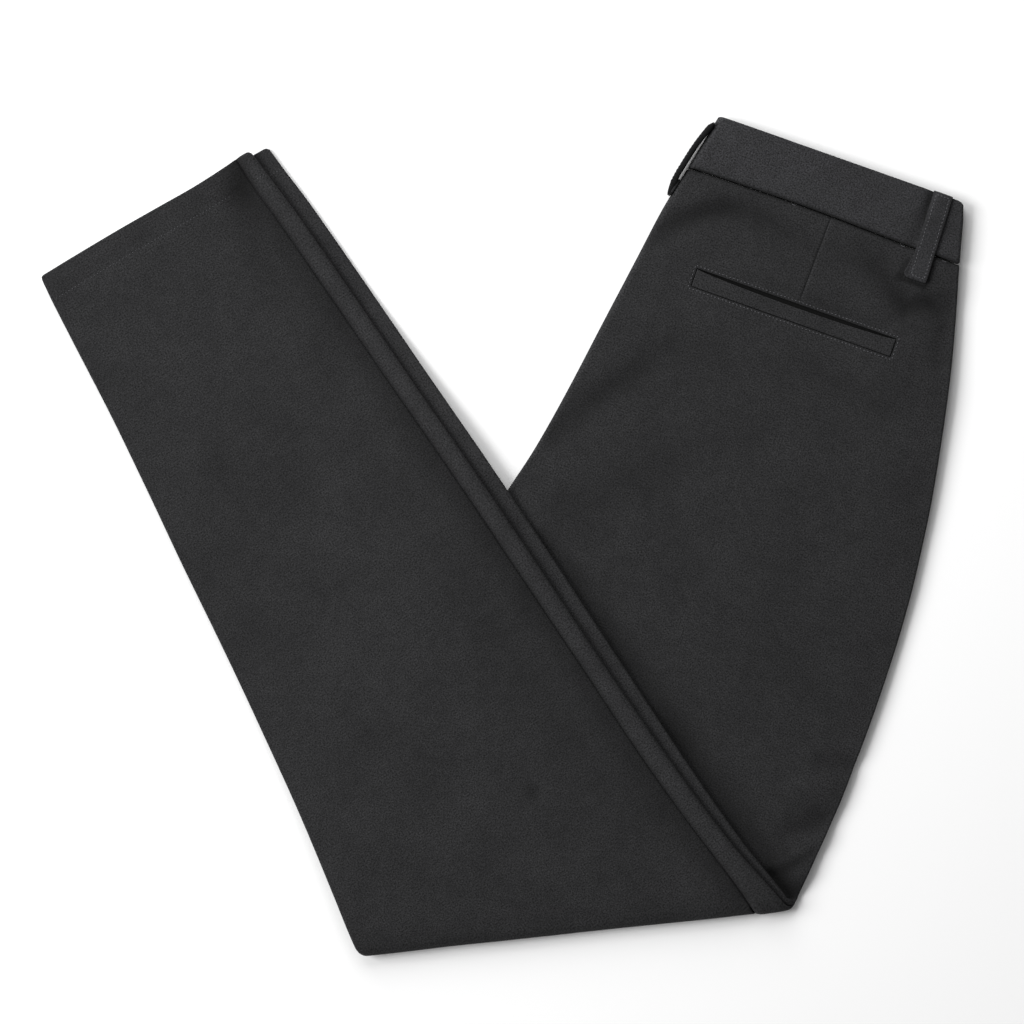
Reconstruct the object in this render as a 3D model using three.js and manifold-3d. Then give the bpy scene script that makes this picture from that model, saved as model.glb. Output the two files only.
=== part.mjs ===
// Straight-leg trousers, folded lengthwise along the seat seam, then folded up at the knee and laid flat.
// The unfolded trousers are described first, as four layers of cloth pressed flat. Each point of that stack
// is then laid on the floor, and what lies below the knee is turned over onto the rest.
// Millimetres, +Z up. The origin is on the floor, under the middle of the folded garment's box.
import * as THREE from "three";
import Module from "manifold-3d";

const wasm = await Module();
wasm.setup();

// Cloth and clearances
const GAP = 0.3; // between two pieces at a seam
const TWILL = 1.1; // wall of one layer of brushed cotton twill
const HEM_CLOTH = 1.7; // wall where the hem is turned up
const BAND_CLOTH = 2.0; // wall of the waistband, which is doubled over an interlining
const LOOP_CLOTH = 1.2; // wall of a belt loop

// Waistband
const BAND_HEIGHT = 38;
const BAND_PLY = 2.9; // from one layer of the folded waistband to the next
const CENTRE_FRONT = 9; // how far the closed front edge lies inside the seat fold

// The side seams, and the cloth of the front legs that shows beside them
const FRONT_TURN = 4; // how far a front leg reaches back under the leg's edge, past the side seam
const UNDER_SEAM = 13; // how far the right leg's side seam lies inside its edge, underneath

// How the folded garment lies
const WAIST_TURN = THREE.MathUtils.degToRad(19.5); // the waistband's slant across the floor
const WAIST_X = 219.63; // where the middle of the waistband's top edge lies
const WAIST_Y = 243.96;
const DROP_START = 5; // this far past the thigh's edge the layers on top start to come down to the floor
const DROP_END = 62; // and this far past it they have reached it

// Sections of the unfolded trousers. inner is the seat fold and then the inseam, outer is the side. Across
// and down are measured from the middle of the waistband's top edge. ply is the distance from one layer to
// the next. split is 0 where the seat fold holds all four layers and 1 where each leg has an edge of its own.
// step is how far the left leg's side lies inside the right leg's, and wrap how far the left leg's side seam
// lies inside that.
const COLUMNS = "name innerAcross innerDown outerAcross outerDown ply split step wrap cloth".split(" ");
const SECTIONS = [
  ["band seam", -92.5, 38.3, 94.6, 38.3, 2.75, 0, 0, 13, TWILL],
  ["dart", -98.8, 68, 103.1, 68, 2.65, 0, 0, 13, TWILL],
  ["pocket", -103.8, 103, 112.1, 103, 2.55, 0, 0, 13, TWILL],
  ["hip", -110.6, 150, 122.0, 150, 2.4, 0, 0, 13, TWILL],
  ["seat", -118.5, 205, 130.3, 197, 2.2, 0, 0, 13, TWILL],
  ["low seat", -125.2, 243, 133.2, 219, 2.05, 0.3, 0, 13, TWILL],
  ["crotch curve", -132.5, 273, 135.2, 236, 2.0, 0.7, 0, 13, TWILL],
  ["crotch", -138.0, 296, 136.8, 252, 2.0, 1, 0, 13, TWILL],
  ["top thigh", -135.5, 345, 139.0, 290, 2.0, 1, 0, 13, TWILL],
  ["mid thigh", -132.5, 400, 139.6, 330, 2.0, 1, 0, 13, TWILL],
  ["low thigh", -128.7, 470, 138.6, 385, 2.0, 1, 0, 13, TWILL],
  ["above knee", -124.8, 540, 135.3, 431, 2.0, 1, 0, 13, TWILL],
  ["fold start", -122.5, 583.2, 133.0, 459.1, 2.0, 1, 0.5, 22, TWILL],
  ["fold end", -120.5, 598.3, 131.5, 475.6, 2.0, 1, 0.5, 22, TWILL],
  ["below knee", -113.8, 636.7, 127.5, 525, 2.0, 1, 7.2, 15, TWILL],
  ["top shin", -104.6, 692.4, 124.6, 590, 2.0, 1, 9.3, 15, TWILL],
  ["calf", -97.1, 749, 123.3, 665, 2.0, 1, 10.8, 13.4, TWILL],
  ["low calf", -90.0, 806, 122.0, 745, 2.0, 1, 11, 13.3, TWILL],
  ["mid shin", -83.6, 863.8, 120.3, 815, 2.0, 1, 11.3, 12.8, TWILL],
  ["low shin", -76.5, 921, 117.5, 885, 2.0, 1, 11.2, 12.7, TWILL],
  ["ankle", -70.1, 978.5, 115.0, 953, 2.0, 1, 11, 12.7, TWILL],
  ["above hem", -65.6, 1030.5, 111.8, 1024, 2.05, 1, 10.8, 12.3, TWILL],
  ["hem stitch", -63.1, 1056.5, 109.6, 1050, 2.2, 1, 10.8, 11.8, TWILL],
  ["hem", -61.2, 1073.5, 108.5, 1067, 2.4, 1, 11, 10.8, HEM_CLOTH],
].map((row) => Object.fromEntries(COLUMNS.map((column, i) => [column, row[i]])));
const section = (name) => SECTIONS.find((s) => s.name === name);
const sectionsFrom = (first, last) =>
  SECTIONS.slice(SECTIONS.indexOf(section(first)), SECTIONS.indexOf(section(last)) + 1);

// A section between two others, or past the second where share is over 1
function between(first, second, share) {
  const made = { name: first.name };
  for (const column of COLUMNS.slice(1)) made[column] = THREE.MathUtils.lerp(first[column], second[column], share);
  return made;
}

// The same sections with others between them
const finer = (sections, steps) =>
  sections.flatMap((s, i) =>
    Array.from({ length: i + 1 < sections.length ? steps : 1 }, (_, k) =>
      k ? between(s, sections[i + 1], k / steps) : s,
    ),
  );

// Height of the whole stack of four layers, radius of a leg's pressed edge, and width of a section
const stackOf = (s) => 3 * s.ply + s.cloth;
const edgeOf = (s) => (s.ply + s.cloth) / 2;
const widthOf = (s) => Math.hypot(s.outerAcross - s.innerAcross, s.outerDown - s.innerDown);

// The knee fold turns about a line just above the stack, so its outside stands that far past the line
const KNEE_STACK = stackOf(section("fold start"));
const FOLD_AXIS = KNEE_STACK + GAP / 2;
const FOLD_LENGTH = 2 * FOLD_AXIS;
const foldInner = new THREE.Vector2(section("fold start").innerAcross, section("fold start").innerDown);
const foldOuter = new THREE.Vector2(section("fold start").outerAcross, section("fold start").outerDown);
const foldAlong = foldOuter.clone().sub(foldInner).normalize();
const foldOut = new THREE.Vector2(-foldAlong.y, foldAlong.x);

// The inner edge of the thigh, over which the turned-up legs come down to the floor
const crotch = new THREE.Vector2(section("crotch").innerAcross, section("crotch").innerDown);
const thighAlong = foldInner.clone().sub(crotch).normalize();
const thighOut = new THREE.Vector2(-thighAlong.y, thighAlong.x);

// Lays a point of the unfolded stack on the floor. height is counted from the side that first faced down,
// and stack is the height of the whole stack there.
function lay(across, down, height, stack) {
  const point = new THREE.Vector2(across, down);
  const past = point.clone().sub(foldInner).dot(foldOut);
  let z = height;
  if (past > 0 && past < FOLD_LENGTH) {
    const angle = (Math.PI * past) / FOLD_LENGTH;
    const radius = FOLD_AXIS - height;
    point.addScaledVector(foldOut, radius * Math.sin(angle) - past);
    z = FOLD_AXIS - radius * Math.cos(angle);
  } else if (past >= FOLD_LENGTH) {
    point.addScaledVector(foldOut, FOLD_LENGTH - 2 * past);
    const outside = point.clone().sub(crotch).dot(thighOut);
    const dropped =
      THREE.MathUtils.smoothstep(outside, DROP_START, DROP_END) *
      THREE.MathUtils.smoothstep(past - FOLD_LENGTH, 0, DROP_END / 2);
    z = (KNEE_STACK + GAP) * (1 - dropped) + stack - height;
  }
  return new THREE.Vector3(
    WAIST_X + point.x * Math.cos(WAIST_TURN) - point.y * Math.sin(WAIST_TURN),
    WAIST_Y - point.x * Math.sin(WAIST_TURN) - point.y * Math.cos(WAIST_TURN),
    z,
  );
}

// A point of a section, by its distance from the inner end and its height
function onSection(s, [along, height]) {
  const share = along / widthOf(s);
  const across = THREE.MathUtils.lerp(s.innerAcross, s.outerAcross, share);
  const down = THREE.MathUtils.lerp(s.innerDown, s.outerDown, share);
  return lay(across, down, height, stackOf(s));
}

// A closed solid through rings. Each ring has its outline in the plane, for the end caps, and the same points
// in space. The diagonals always run the same way across, so that neighbouring layers stay parallel.
function loft(rings) {
  const count = rings[0].outline.length;
  const points = rings.flatMap((ring) => ring.points.flatMap((p) => p.toArray()));
  const faces = [];
  for (let r = 0; r + 1 < rings.length; r++) {
    for (let i = 0; i < count; i++) {
      const j = (i + 1) % count;
      const [a, b] = [r * count + i, r * count + j];
      const [c, d] = [b + count, a + count];
      const forwards = rings[r].outline[j][0] >= rings[r].outline[i][0];
      faces.push(...(forwards ? [a, b, c, a, c, d] : [a, b, d, b, c, d]));
    }
  }
  const cap = (ring) =>
    THREE.ShapeUtils.triangulateShape(ring.outline.map(([x, y]) => new THREE.Vector2(x, y)), []);
  const turned = THREE.ShapeUtils.area(rings[0].outline.map(([x, y]) => new THREE.Vector2(x, y))) < 0;
  const last = (rings.length - 1) * count;
  for (const [a, b, c] of cap(rings[0])) faces.push(...(turned ? [a, b, c] : [a, c, b]));
  for (const [a, b, c] of cap(rings.at(-1))) {
    faces.push(...(turned ? [last + a, last + c, last + b] : [last + a, last + b, last + c]));
  }
  if (signedVolume(points, faces) < 0) {
    for (let i = 0; i < faces.length; i += 3) [faces[i + 1], faces[i + 2]] = [faces[i + 2], faces[i + 1]];
  }
  return new wasm.Manifold(
    new wasm.Mesh({
      numProp: 3,
      vertProperties: new Float32Array(points),
      triVerts: new Uint32Array(faces),
    }),
  );
}

function signedVolume(points, faces) {
  const corner = (i) => new THREE.Vector3().fromArray(points, 3 * faces[i]);
  let sum = 0;
  for (let i = 0; i < faces.length; i += 3) sum += corner(i).dot(corner(i + 1).cross(corner(i + 2)));
  return sum / 6;
}

// Points of an arc in a section's plane, from one angle to another in degrees
function arc(along, height, radius, from, to, steps) {
  return Array.from({ length: steps + 1 }, (_, i) => {
    const angle = THREE.MathUtils.degToRad(THREE.MathUtils.lerp(from, to, i / steps));
    return [along + radius * Math.cos(angle), height + radius * Math.sin(angle)];
  });
}

// Evenly spaced points from one place along a section to another, at one height
function level(from, to, height, steps) {
  return Array.from({ length: steps + 1 }, (_, i) => [THREE.MathUtils.lerp(from, to, i / steps), height]);
}

// The outline of a strip of cloth of one thickness along an open line
function stripOutline(line, thickness) {
  const normals = line.map((_, i) => {
    const before = line[Math.max(i - 1, 0)];
    const after = line[Math.min(i + 1, line.length - 1)];
    return new THREE.Vector2(before[1] - after[1], after[0] - before[0]).normalize();
  });
  const side = (way) => line.map(([x, y], i) => [x + way * normals[i].x, y + way * normals[i].y]);
  return [...side(thickness / 2), ...side(-thickness / 2).reverse()];
}

// A wall of cloth through sections, along a line that is worked out for each of them
const clothWall = (sections, lineOf) =>
  loft(
    sections.map((s) => {
      const outline = stripOutline(lineOf(s), s.cloth);
      return { outline, points: outline.map((p) => onSection(s, p)) };
    }),
  );

// A solid through sections, with an outline that is worked out for each of them
const block = (sections, outlineOf) =>
  loft(
    sections.map((s) => {
      const outline = outlineOf(s);
      return { outline, points: outline.map((p) => onSection(s, p)) };
    }),
  );

// Sections of the two halves. The fold's own sections are 30 degrees of turn apart.
const FOLD_STEPS = 6;
const DROP_STEPS = 3; // the sections where the legs come down to the floor are this much closer
const foldSection = (share) => between(section("fold start"), section("fold end"), share);
const shareOfFold = (millimetres) => millimetres / FOLD_LENGTH;
const THIGHS = sectionsFrom("band seam", "above knee");
const FOLD = Array.from({ length: FOLD_STEPS - 1 }, (_, i) => foldSection((i + 1) / FOLD_STEPS));
const SHINS = [...finer(sectionsFrom("fold end", "mid shin"), DROP_STEPS), ...sectionsFrom("low shin", "hem")];
const TURNED_UP = [foldSection(shareOfFold(GAP)), ...FOLD, ...SHINS];

// The seat fold, or below the crotch the upper leg's inner edge: where it turns, and its height there
function innerTurn(s) {
  const radius = THREE.MathUtils.lerp(stackOf(s) / 2, edgeOf(s), s.split);
  return { radius, height: stackOf(s) - radius };
}

// Right back: the whole top of the upper half, from the waistband to the knee fold. It turns down over the
// seat fold to the seat seam, and over the side to the side seam.
const PANEL_STEPS = 5;
function rightBackLine(s) {
  const turn = innerTurn(s);
  const side = edgeOf(s);
  const half = s.cloth / 2;
  return [
    ...arc(turn.radius, turn.height, turn.radius - half, 180, 90, 4),
    ...level(turn.radius + 1, widthOf(s) - side - 1, stackOf(s) - half, PANEL_STEPS),
    ...arc(widthOf(s) - side, stackOf(s) - side, side - half, 90, 0, 3),
  ];
}

// Places along a turned-up section that every layer there shares, so that the layers stay parallel where
// they come down to the floor
const SHARED_STEPS = 10;
const sharedEnd = (s) => widthOf(s) - 31;
const seamAt = (s) => widthOf(s) - s.step - s.wrap;
const stripAt = (s) => seamAt(s) - FRONT_TURN;

// Left back: on top of the turned-up legs, from the floor round the knee fold to the hem, and from the
// inseam to the side seam, where it dips
const SEAM_DIP = 0.35;
function leftBackLine(s) {
  const edge = edgeOf(s);
  const half = s.cloth / 2;
  return [
    ...arc(edge, edge, edge - half, 180, 270, 4),
    ...level(edge + 1, sharedEnd(s), half, SHARED_STEPS),
    [stripAt(s) + GAP, half],
    [seamAt(s) - GAP / 2, half + SEAM_DIP],
  ];
}

// Left front: the strip between the side seam and the left leg's edge, turned back under it
function leftFrontLine(s) {
  const edge = edgeOf(s);
  const half = s.cloth / 2;
  const side = widthOf(s) - s.step;
  return [
    [seamAt(s) + GAP / 2, half + SEAM_DIP],
    [seamAt(s) + 2.5, half],
    ...level(side - edge - 4, side - edge, half, 1),
    ...arc(side - edge, edge, edge - half, -60, 90, 5),
    [stripAt(s), s.ply + half],
  ];
}

// Right front: the strip of the lower leg that shows past the left leg's edge, turned under to its seam
function rightFrontLine(s) {
  const edge = edgeOf(s);
  const half = s.cloth / 2;
  const side = widthOf(s);
  const middle = stackOf(s) - edge;
  return [
    [stripAt(s), 2 * s.ply + half],
    [side - UNDER_SEAM - GAP, 2 * s.ply + half],
    [side - edge, 2 * s.ply + half],
    ...arc(side - edge, middle, edge - half, -60, 90, 5),
    [side - UNDER_SEAM, stackOf(s) - half],
  ];
}

// Hidden layers of the upper half: the fronts and the left back, with their edges one above the other
const GROOVE = 2; // how deep the slit between two legs' edges is modelled
function edgeOutline(s, split, turn) {
  const edge = edgeOf(s);
  const stack = stackOf(s);
  const lip = turn.height - GAP;
  const inside = s.cloth + GAP;
  const legs = [
    ...arc(edge, edge, edge, 270, 90, 5),
    [edge + GROOVE, 2 * edge],
    [edge + GROOVE, stack - 2 * edge],
    ...arc(edge, stack - edge, edge, 270, 192, 3),
  ];
  const fold = arc(stack / 2, stack / 2, stack / 2, 270, 186, legs.length - 1);
  const outside = legs.map((p, i) => [
    THREE.MathUtils.lerp(fold[i][0], p[0], split),
    THREE.MathUtils.lerp(fold[i][1], p[1], split),
  ]);
  return [...outside, [inside, lip], ...arc(turn.radius, turn.height, turn.radius - inside, 180, 90, 3)];
}

function upperHiddenOutline(s) {
  const inner = edgeOutline(s, s.split, innerTurn(s));
  const sideTurn = { radius: edgeOf(s), height: stackOf(s) - edgeOf(s) };
  const outer = edgeOutline(s, 1, sideTurn).map(([x, h]) => [widthOf(s) - x, h]);
  const top = stackOf(s) - s.cloth - GAP;
  const lid = level(innerTurn(s).radius + 1, widthOf(s) - edgeOf(s) - 1, top, PANEL_STEPS);
  return [...outer, ...lid.reverse(), ...inner.reverse()];
}

// Hidden layers of the turned-up legs: everything under the left back and between the two front strips
const FOLD_INSIDE = 0.75; // the innermost cloth keeps this clear of the fold's own line,
const FOLD_EASE = 20; // and comes back to the thigh over this length
function lowerHiddenOutline(s) {
  const edge = edgeOf(s);
  const stack = stackOf(s);
  const under = s.cloth + GAP;
  const side = widthOf(s);
  const strip = stripAt(s) - GAP;
  const foldEnd = section("fold end").innerDown;
  const eased = THREE.MathUtils.smoothstep(s.innerDown, foldEnd, foldEnd + FOLD_EASE);
  const bottom = stack - FOLD_INSIDE * (1 - eased);
  const outline = [
    ...level(edge + 1, sharedEnd(s), under, SHARED_STEPS),
    [strip, under],
    [strip, 2 * s.ply + under],
    [side - UNDER_SEAM - GAP, 2 * s.ply + under],
    [side - UNDER_SEAM - GAP, stack],
    ...level(edge + 1, sharedEnd(s), stack, SHARED_STEPS).reverse(),
    ...arc(edge, stack - edge, edge, 90, 270, 5),
    [edge + GROOVE, stack - 2 * edge],
    [edge + GROOVE, 2 * edge],
    ...arc(edge, edge, edge, 90, 168, 3),
    [under, edge + GAP],
  ];
  return outline.map(([x, h]) => [x, Math.min(h, bottom)]);
}

// The slits that show the layers at the hems: into each leg, and between the two legs
const SLIT_END = 2; // how far the leg's openings start inside its pressed edge
const PAST = 2; // how far a cut runs past the solid
function legOpenings() {
  const hem = section("hem");
  const stitch = section("hem stitch");
  const pastHem = between(stitch, hem, 1.2);
  const sections = [section("above hem"), stitch, hem, pastHem];
  const slit = (from, to, low, high) =>
    block(sections, (s) => [
      [from(s), low(s)],
      [to(s), low(s)],
      [to(s), high(s)],
      [from(s), high(s)],
    ]);
  const inside = () => SLIT_END;
  const past = (s) => widthOf(s) + PAST;
  return [
    slit(inside, past, (s) => s.cloth, (s) => s.ply),
    slit(inside, past, (s) => 2 * s.ply + s.cloth, (s) => 3 * s.ply),
    slit(() => -PAST, past, (s) => s.ply + s.cloth, (s) => 2 * s.ply),
  ];
}

// Waistband: one band right round, folded with the trousers into four layers
const BAND = { ply: BAND_PLY, cloth: BAND_CLOTH };
const WAIST = { ...section("band seam"), ...BAND, innerAcross: -84.5, innerDown: 0, outerAcross: 84.5, outerDown: 0 };
const BAND_END = between(WAIST, { ...section("band seam"), ...BAND }, (BAND_HEIGHT - GAP / 2) / 38.3);
function bandLine(s) {
  const half = s.cloth / 2;
  const stack = stackOf(s);
  const turn = s.ply / 2;
  const side = widthOf(s) - turn - half;
  const seat = stack / 2;
  const layer = (n) => half + n * s.ply;
  return [
    ...arc(seat, seat, seat - half, 180, 90, 5),
    ...arc(side, layer(2.5), turn, 90, -90, 5),
    ...arc(CENTRE_FRONT, layer(1.5), turn, 90, 270, 5),
    ...arc(side, layer(0.5), turn, 90, -90, 5),
    ...arc(seat, seat, seat - half, 270, 180 + 4, 5),
  ];
}

// Heights of the upper half's top surface, and of the waistband's, at a distance down from the waist
function topAt(down) {
  const after = SECTIONS.findIndex((s) => s.innerDown > down);
  const [a, b] = [SECTIONS[Math.max(after - 1, 0)], SECTIONS[Math.max(after, 1)]];
  return THREE.MathUtils.mapLinear(down, a.innerDown, b.innerDown, stackOf(a), stackOf(b));
}
const bandTop = 3 * BAND_PLY + BAND_CLOTH;

// A slab that follows the top surface between two edges across, from one distance down to another
function slab(columns, edges, low, high) {
  return loft(
    columns.map((across) => {
      const [from, to] = edges(across);
      const outline = [
        [from, low(from)],
        [to, low(to)],
        [to, high(to)],
        [from, high(from)],
      ];
      return { outline, points: outline.map(([down, height]) => lay(across, down, height, 0)) };
    }),
  );
}

// Back pocket: a window in the right back with a single welt, which leaves a slit along its top edge
const POCKET = { from: -64.5, to: 73.5, top: 97.2, bottom: 109.7 };
const WELT_PROUD = 0.5;
const SLIT = 1.8; // at its widest
const pocketColumns = (inset, steps) =>
  level(POCKET.from + inset, POCKET.to - inset, 0, steps).map(([across]) => across);
function slitAt(across) {
  const share = (across - POCKET.from) / (POCKET.to - POCKET.from);
  return GAP + (SLIT - GAP) * Math.sqrt(Math.max(0, Math.sin(Math.PI * share)));
}
const pocketWindow = slab(
  pocketColumns(0, 1),
  () => [POCKET.top, POCKET.bottom],
  (down) => topAt(down) - TWILL - GAP / 2,
  (down) => topAt(down) + 2,
);
const pocketMouth = slab(
  pocketColumns(4, 1),
  () => [POCKET.top, POCKET.top + SLIT],
  (down) => topAt(down) - TWILL - GAP - 2.5,
  (down) => topAt(down) + 2,
);
const welt = slab(
  pocketColumns(GAP, 12),
  (across) => [POCKET.top + slitAt(across), POCKET.bottom - GAP],
  (down) => topAt(down) - TWILL,
  (down) => topAt(down) + WELT_PROUD,
);

// Dart: a shallow groove from the waistband's seam to the pocket
const DART = { topAcross: 6, bottomAcross: 4.8, top: 37, bottom: 96.5, width: 1, depth: 0.6 };
const dart = loft(
  [0, 1].map((end) => {
    const across = end ? DART.bottomAcross : DART.topAcross;
    const down = end ? DART.bottom : DART.top;
    const outline = [
      [across - DART.width / 2, 0.1],
      [across, -DART.depth],
      [across + DART.width / 2, 0.1],
    ];
    return { outline, points: outline.map(([x, h]) => lay(x, down, topAt(down) + h, 0)) };
  }),
);

// Side belt loop: a strap from over the waistband's top edge to below its seam, with its end turned under
const LOOP = { width: 12.4, topAcross: 70.2, bottomAcross: 71.9, bottom: 54.2, dip: 3.5, arch: 0.5, tail: 14 };
function sideLoopLine() {
  const half = LOOP_CLOTH / 2;
  const onBand = bandTop + GAP + half;
  const onPanel = topAt(LOOP.bottom) + GAP + half;
  const end = LOOP.bottom - LOOP_CLOTH;
  return [
    [-LOOP_CLOTH, bandTop - LOOP.dip],
    ...arc(GAP, bandTop - half, LOOP_CLOTH + GAP, 180, 90, 4),
    [BAND_HEIGHT / 2, onBand + LOOP.arch],
    [BAND_HEIGHT - 4, onBand + LOOP.arch],
    [BAND_HEIGHT + 6, onPanel + 1.5 * LOOP_CLOTH],
    ...arc(end, onPanel + LOOP_CLOTH / 2 + 0.1, LOOP_CLOTH / 2 + 0.1, 90, -90, 4),
    [LOOP.bottom - LOOP.tail, onPanel + 0.1],
  ];
}
const sideLoop = loft(
  [-1, 1].map((way) => {
    const outline = stripOutline(sideLoopLine(), LOOP_CLOTH);
    const acrossAt = (down) =>
      THREE.MathUtils.lerp(LOOP.topAcross, LOOP.bottomAcross, down / LOOP.bottom) + (way * LOOP.width) / 2;
    return { outline, points: outline.map(([down, h]) => lay(acrossAt(down), down, h, 0)) };
  }),
);

// Centre back belt loop: the seat fold runs through its middle, so it stands on edge and bows outwards.
// out is how far the strap's middle stands from the seat fold.
const BACK_LOOP_WIDTH = 12;
const BACK_LOOP = [
  { down: 0.8, out: 1.0 },
  { down: 6, out: 2.1 },
  { down: 14, out: 3.0 },
  { down: 24, out: 3.9 },
  { down: 34, out: 4.3 },
  { down: 45, out: 4.2 },
  { down: 53, out: 3.9 },
  { down: 57, out: 3.2 },
  { down: 58.6, out: 2.1 },
  { down: 57, out: 1.1 },
  { down: 52, out: 0.95 },
  { down: 44, out: 0.95 },
];
const seatFoldAt = (down) =>
  down < BAND_HEIGHT
    ? THREE.MathUtils.mapLinear(down, 0, 38.3, WAIST.innerAcross, section("band seam").innerAcross)
    : THREE.MathUtils.mapLinear(down, 38.3, 68, section("band seam").innerAcross, section("dart").innerAcross);
const backLoop = loft(
  [0, BACK_LOOP_WIDTH].map((height) => {
    const outline = stripOutline(
      BACK_LOOP.map(({ down, out }) => [seatFoldAt(down) - out, down]),
      LOOP_CLOTH,
    );
    return { outline, points: outline.map(([across, down]) => lay(across, down, height, 0)) };
  }),
);

// The finished solids
const upperHidden = block([...THIGHS, section("fold start")], upperHiddenOutline);
const lowerHidden = block([foldSection(shareOfFold(-GAP)), ...FOLD, ...SHINS], lowerHiddenOutline);
const SOLIDS = {
  hidden_layers: legOpenings().reduce((solid, slit) => solid.subtract(slit), upperHidden.add(lowerHidden))
    .subtract(pocketMouth),
  right_back_panel: clothWall([...THIGHS, foldSection(shareOfFold(-2 * GAP))], rightBackLine)
    .subtract(pocketWindow)
    .subtract(dart),
  left_back_panel: clothWall(TURNED_UP, leftBackLine),
  left_front_panel: clothWall(TURNED_UP, leftFrontLine),
  right_front_panel: clothWall(TURNED_UP, rightFrontLine),
  waistband: clothWall([WAIST, BAND_END], bandLine),
  back_pocket_welt: welt,
  belt_loop_side: sideLoop,
  belt_loop_back: backLoop,
};

const CHARCOAL = { hidden_layers: 0x29292b, waistband: 0x333335, belt_loop_side: 0x363638 };
function meshOf(name, solid) {
  const { vertProperties, triVerts, numProp } = solid.getMesh();
  const geometry = new THREE.BufferGeometry()
    .setAttribute("position", new THREE.BufferAttribute(vertProperties, numProp))
    .setIndex(new THREE.BufferAttribute(triVerts, 1));
  geometry.computeVertexNormals();
  const color = CHARCOAL[name] ?? 0x313133;
  const mesh = new THREE.Mesh(geometry, new THREE.MeshStandardMaterial({ color, roughness: 0.95, metalness: 0 }));
  mesh.name = name;
  return mesh;
}

const trousers = new THREE.Group();
for (const [name, solid] of Object.entries(SOLIDS)) trousers.add(meshOf(name, solid));
export default trousers;
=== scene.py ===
# %% [markdown]
# # Straight-leg trousers, folded and laid flat
#
# The object is a pair of charcoal cotton trousers. They are folded lengthwise along the seat seam, so that
# both back legs lie outside, then folded up at the knee, and laid on a pale table. We look straight down on
# them.
#
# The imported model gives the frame: plain solids of the right size. Each step below lays a finer piece on
# the same form. Sizes are in millimetres until a mesh is made, and Blender itself works in metres.

import math

import bpy
import numpy as np
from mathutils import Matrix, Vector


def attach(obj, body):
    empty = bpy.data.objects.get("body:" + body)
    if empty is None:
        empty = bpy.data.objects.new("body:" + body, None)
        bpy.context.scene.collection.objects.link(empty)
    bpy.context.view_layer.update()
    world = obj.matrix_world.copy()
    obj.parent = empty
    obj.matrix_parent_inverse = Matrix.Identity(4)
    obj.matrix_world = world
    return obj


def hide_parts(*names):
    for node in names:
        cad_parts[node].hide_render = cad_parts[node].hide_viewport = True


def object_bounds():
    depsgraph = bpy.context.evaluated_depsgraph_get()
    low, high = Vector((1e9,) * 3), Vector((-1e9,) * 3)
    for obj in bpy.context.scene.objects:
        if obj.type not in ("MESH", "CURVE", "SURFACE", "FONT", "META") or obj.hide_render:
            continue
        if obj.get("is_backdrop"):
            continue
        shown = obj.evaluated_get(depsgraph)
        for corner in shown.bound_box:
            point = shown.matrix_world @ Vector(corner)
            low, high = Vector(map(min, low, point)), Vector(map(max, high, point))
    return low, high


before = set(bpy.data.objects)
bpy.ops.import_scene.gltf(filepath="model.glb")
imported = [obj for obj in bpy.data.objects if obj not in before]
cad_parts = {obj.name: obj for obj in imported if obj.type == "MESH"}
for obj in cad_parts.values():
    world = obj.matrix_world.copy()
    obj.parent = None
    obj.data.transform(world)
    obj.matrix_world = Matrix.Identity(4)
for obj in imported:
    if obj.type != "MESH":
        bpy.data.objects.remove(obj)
cad_low, cad_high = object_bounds()
MM = 0.001
print("CAD box in mm:", [round((b - a) / MM, 1) for a, b in zip(cad_low, cad_high)])

# %% [markdown]
# ## Camera, table and light
#
# The photograph was taken from straight above, so the camera looks down the Z axis. A long lens keeps the
# lines of the fold and the legs parallel, as they are in the photograph. The distance follows from the
# width of the picture on the table.

# %% Camera
PHOTO_PIXELS = 1024
MM_PER_PIXEL = 0.6485
VIEW_MIDDLE = (6.2, 16.2)  # mm, the point of the table in the middle of the picture
CLOTH_TOP = 3  # mm, where the outline's edges lie
LENS = 120
SENSOR = 36

camera = bpy.data.objects.new("camera", bpy.data.cameras.new("camera"))
camera.data.lens = LENS
camera.data.sensor_width = SENSOR
distance = PHOTO_PIXELS * MM_PER_PIXEL * LENS / SENSOR
camera.location = (VIEW_MIDDLE[0] * MM, VIEW_MIDDLE[1] * MM, (distance + CLOTH_TOP) * MM)
bpy.context.collection.objects.link(camera)
bpy.context.scene.camera = camera
print("camera height in m:", round(camera.location.z, 3))

# %% [markdown]
# Black cloth needs a lot of light before its folds show. The key lamp stands low on the left: it draws the
# seams, the steps between the layers and the creases, and their dark sides are on the right, as in the
# photograph. A large lamp past the upper left corner makes the upper part of the picture lighter than the
# lower, and shines along the strips of the legs, so that it doesn't fill the shadows beside them. A weak
# even world does what the walls of a studio do.

# %% Table, lamps and world
TABLE_SIZE = 8  # m
KEY = {"place": (-3.6, 0.52, 2.65), "size": 2.5, "watts": 224}  # place and size in m
FILL = {"place": (-0.45, 1.3, 0.95), "size": 1.3, "watts": 21}
WORLD_STRENGTH = 0.245


def linear(hex_colour):
    """A colour written as in sRGB, such as 33AA00, in the linear light that shaders use."""
    parts = [int(hex_colour[i : i + 2], 16) / 255 for i in (0, 2, 4)]
    return (*(c / 12.92 if c <= 0.04045 else ((c + 0.055) / 1.055) ** 2.4 for c in parts), 1.0)


def add_node(tree, kind, links=None, **settings):
    """Adds a node. settings are its own, or values of its sockets; links is socket name to output socket."""
    made = tree.nodes.new(kind)
    for name, value in settings.items():
        if hasattr(made, name):
            setattr(made, name, value)
        else:
            made.inputs[name.replace("_", " ")].default_value = value
    for name, source in (links or {}).items():
        tree.links.new(source, made.inputs[name])
    return made


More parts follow.
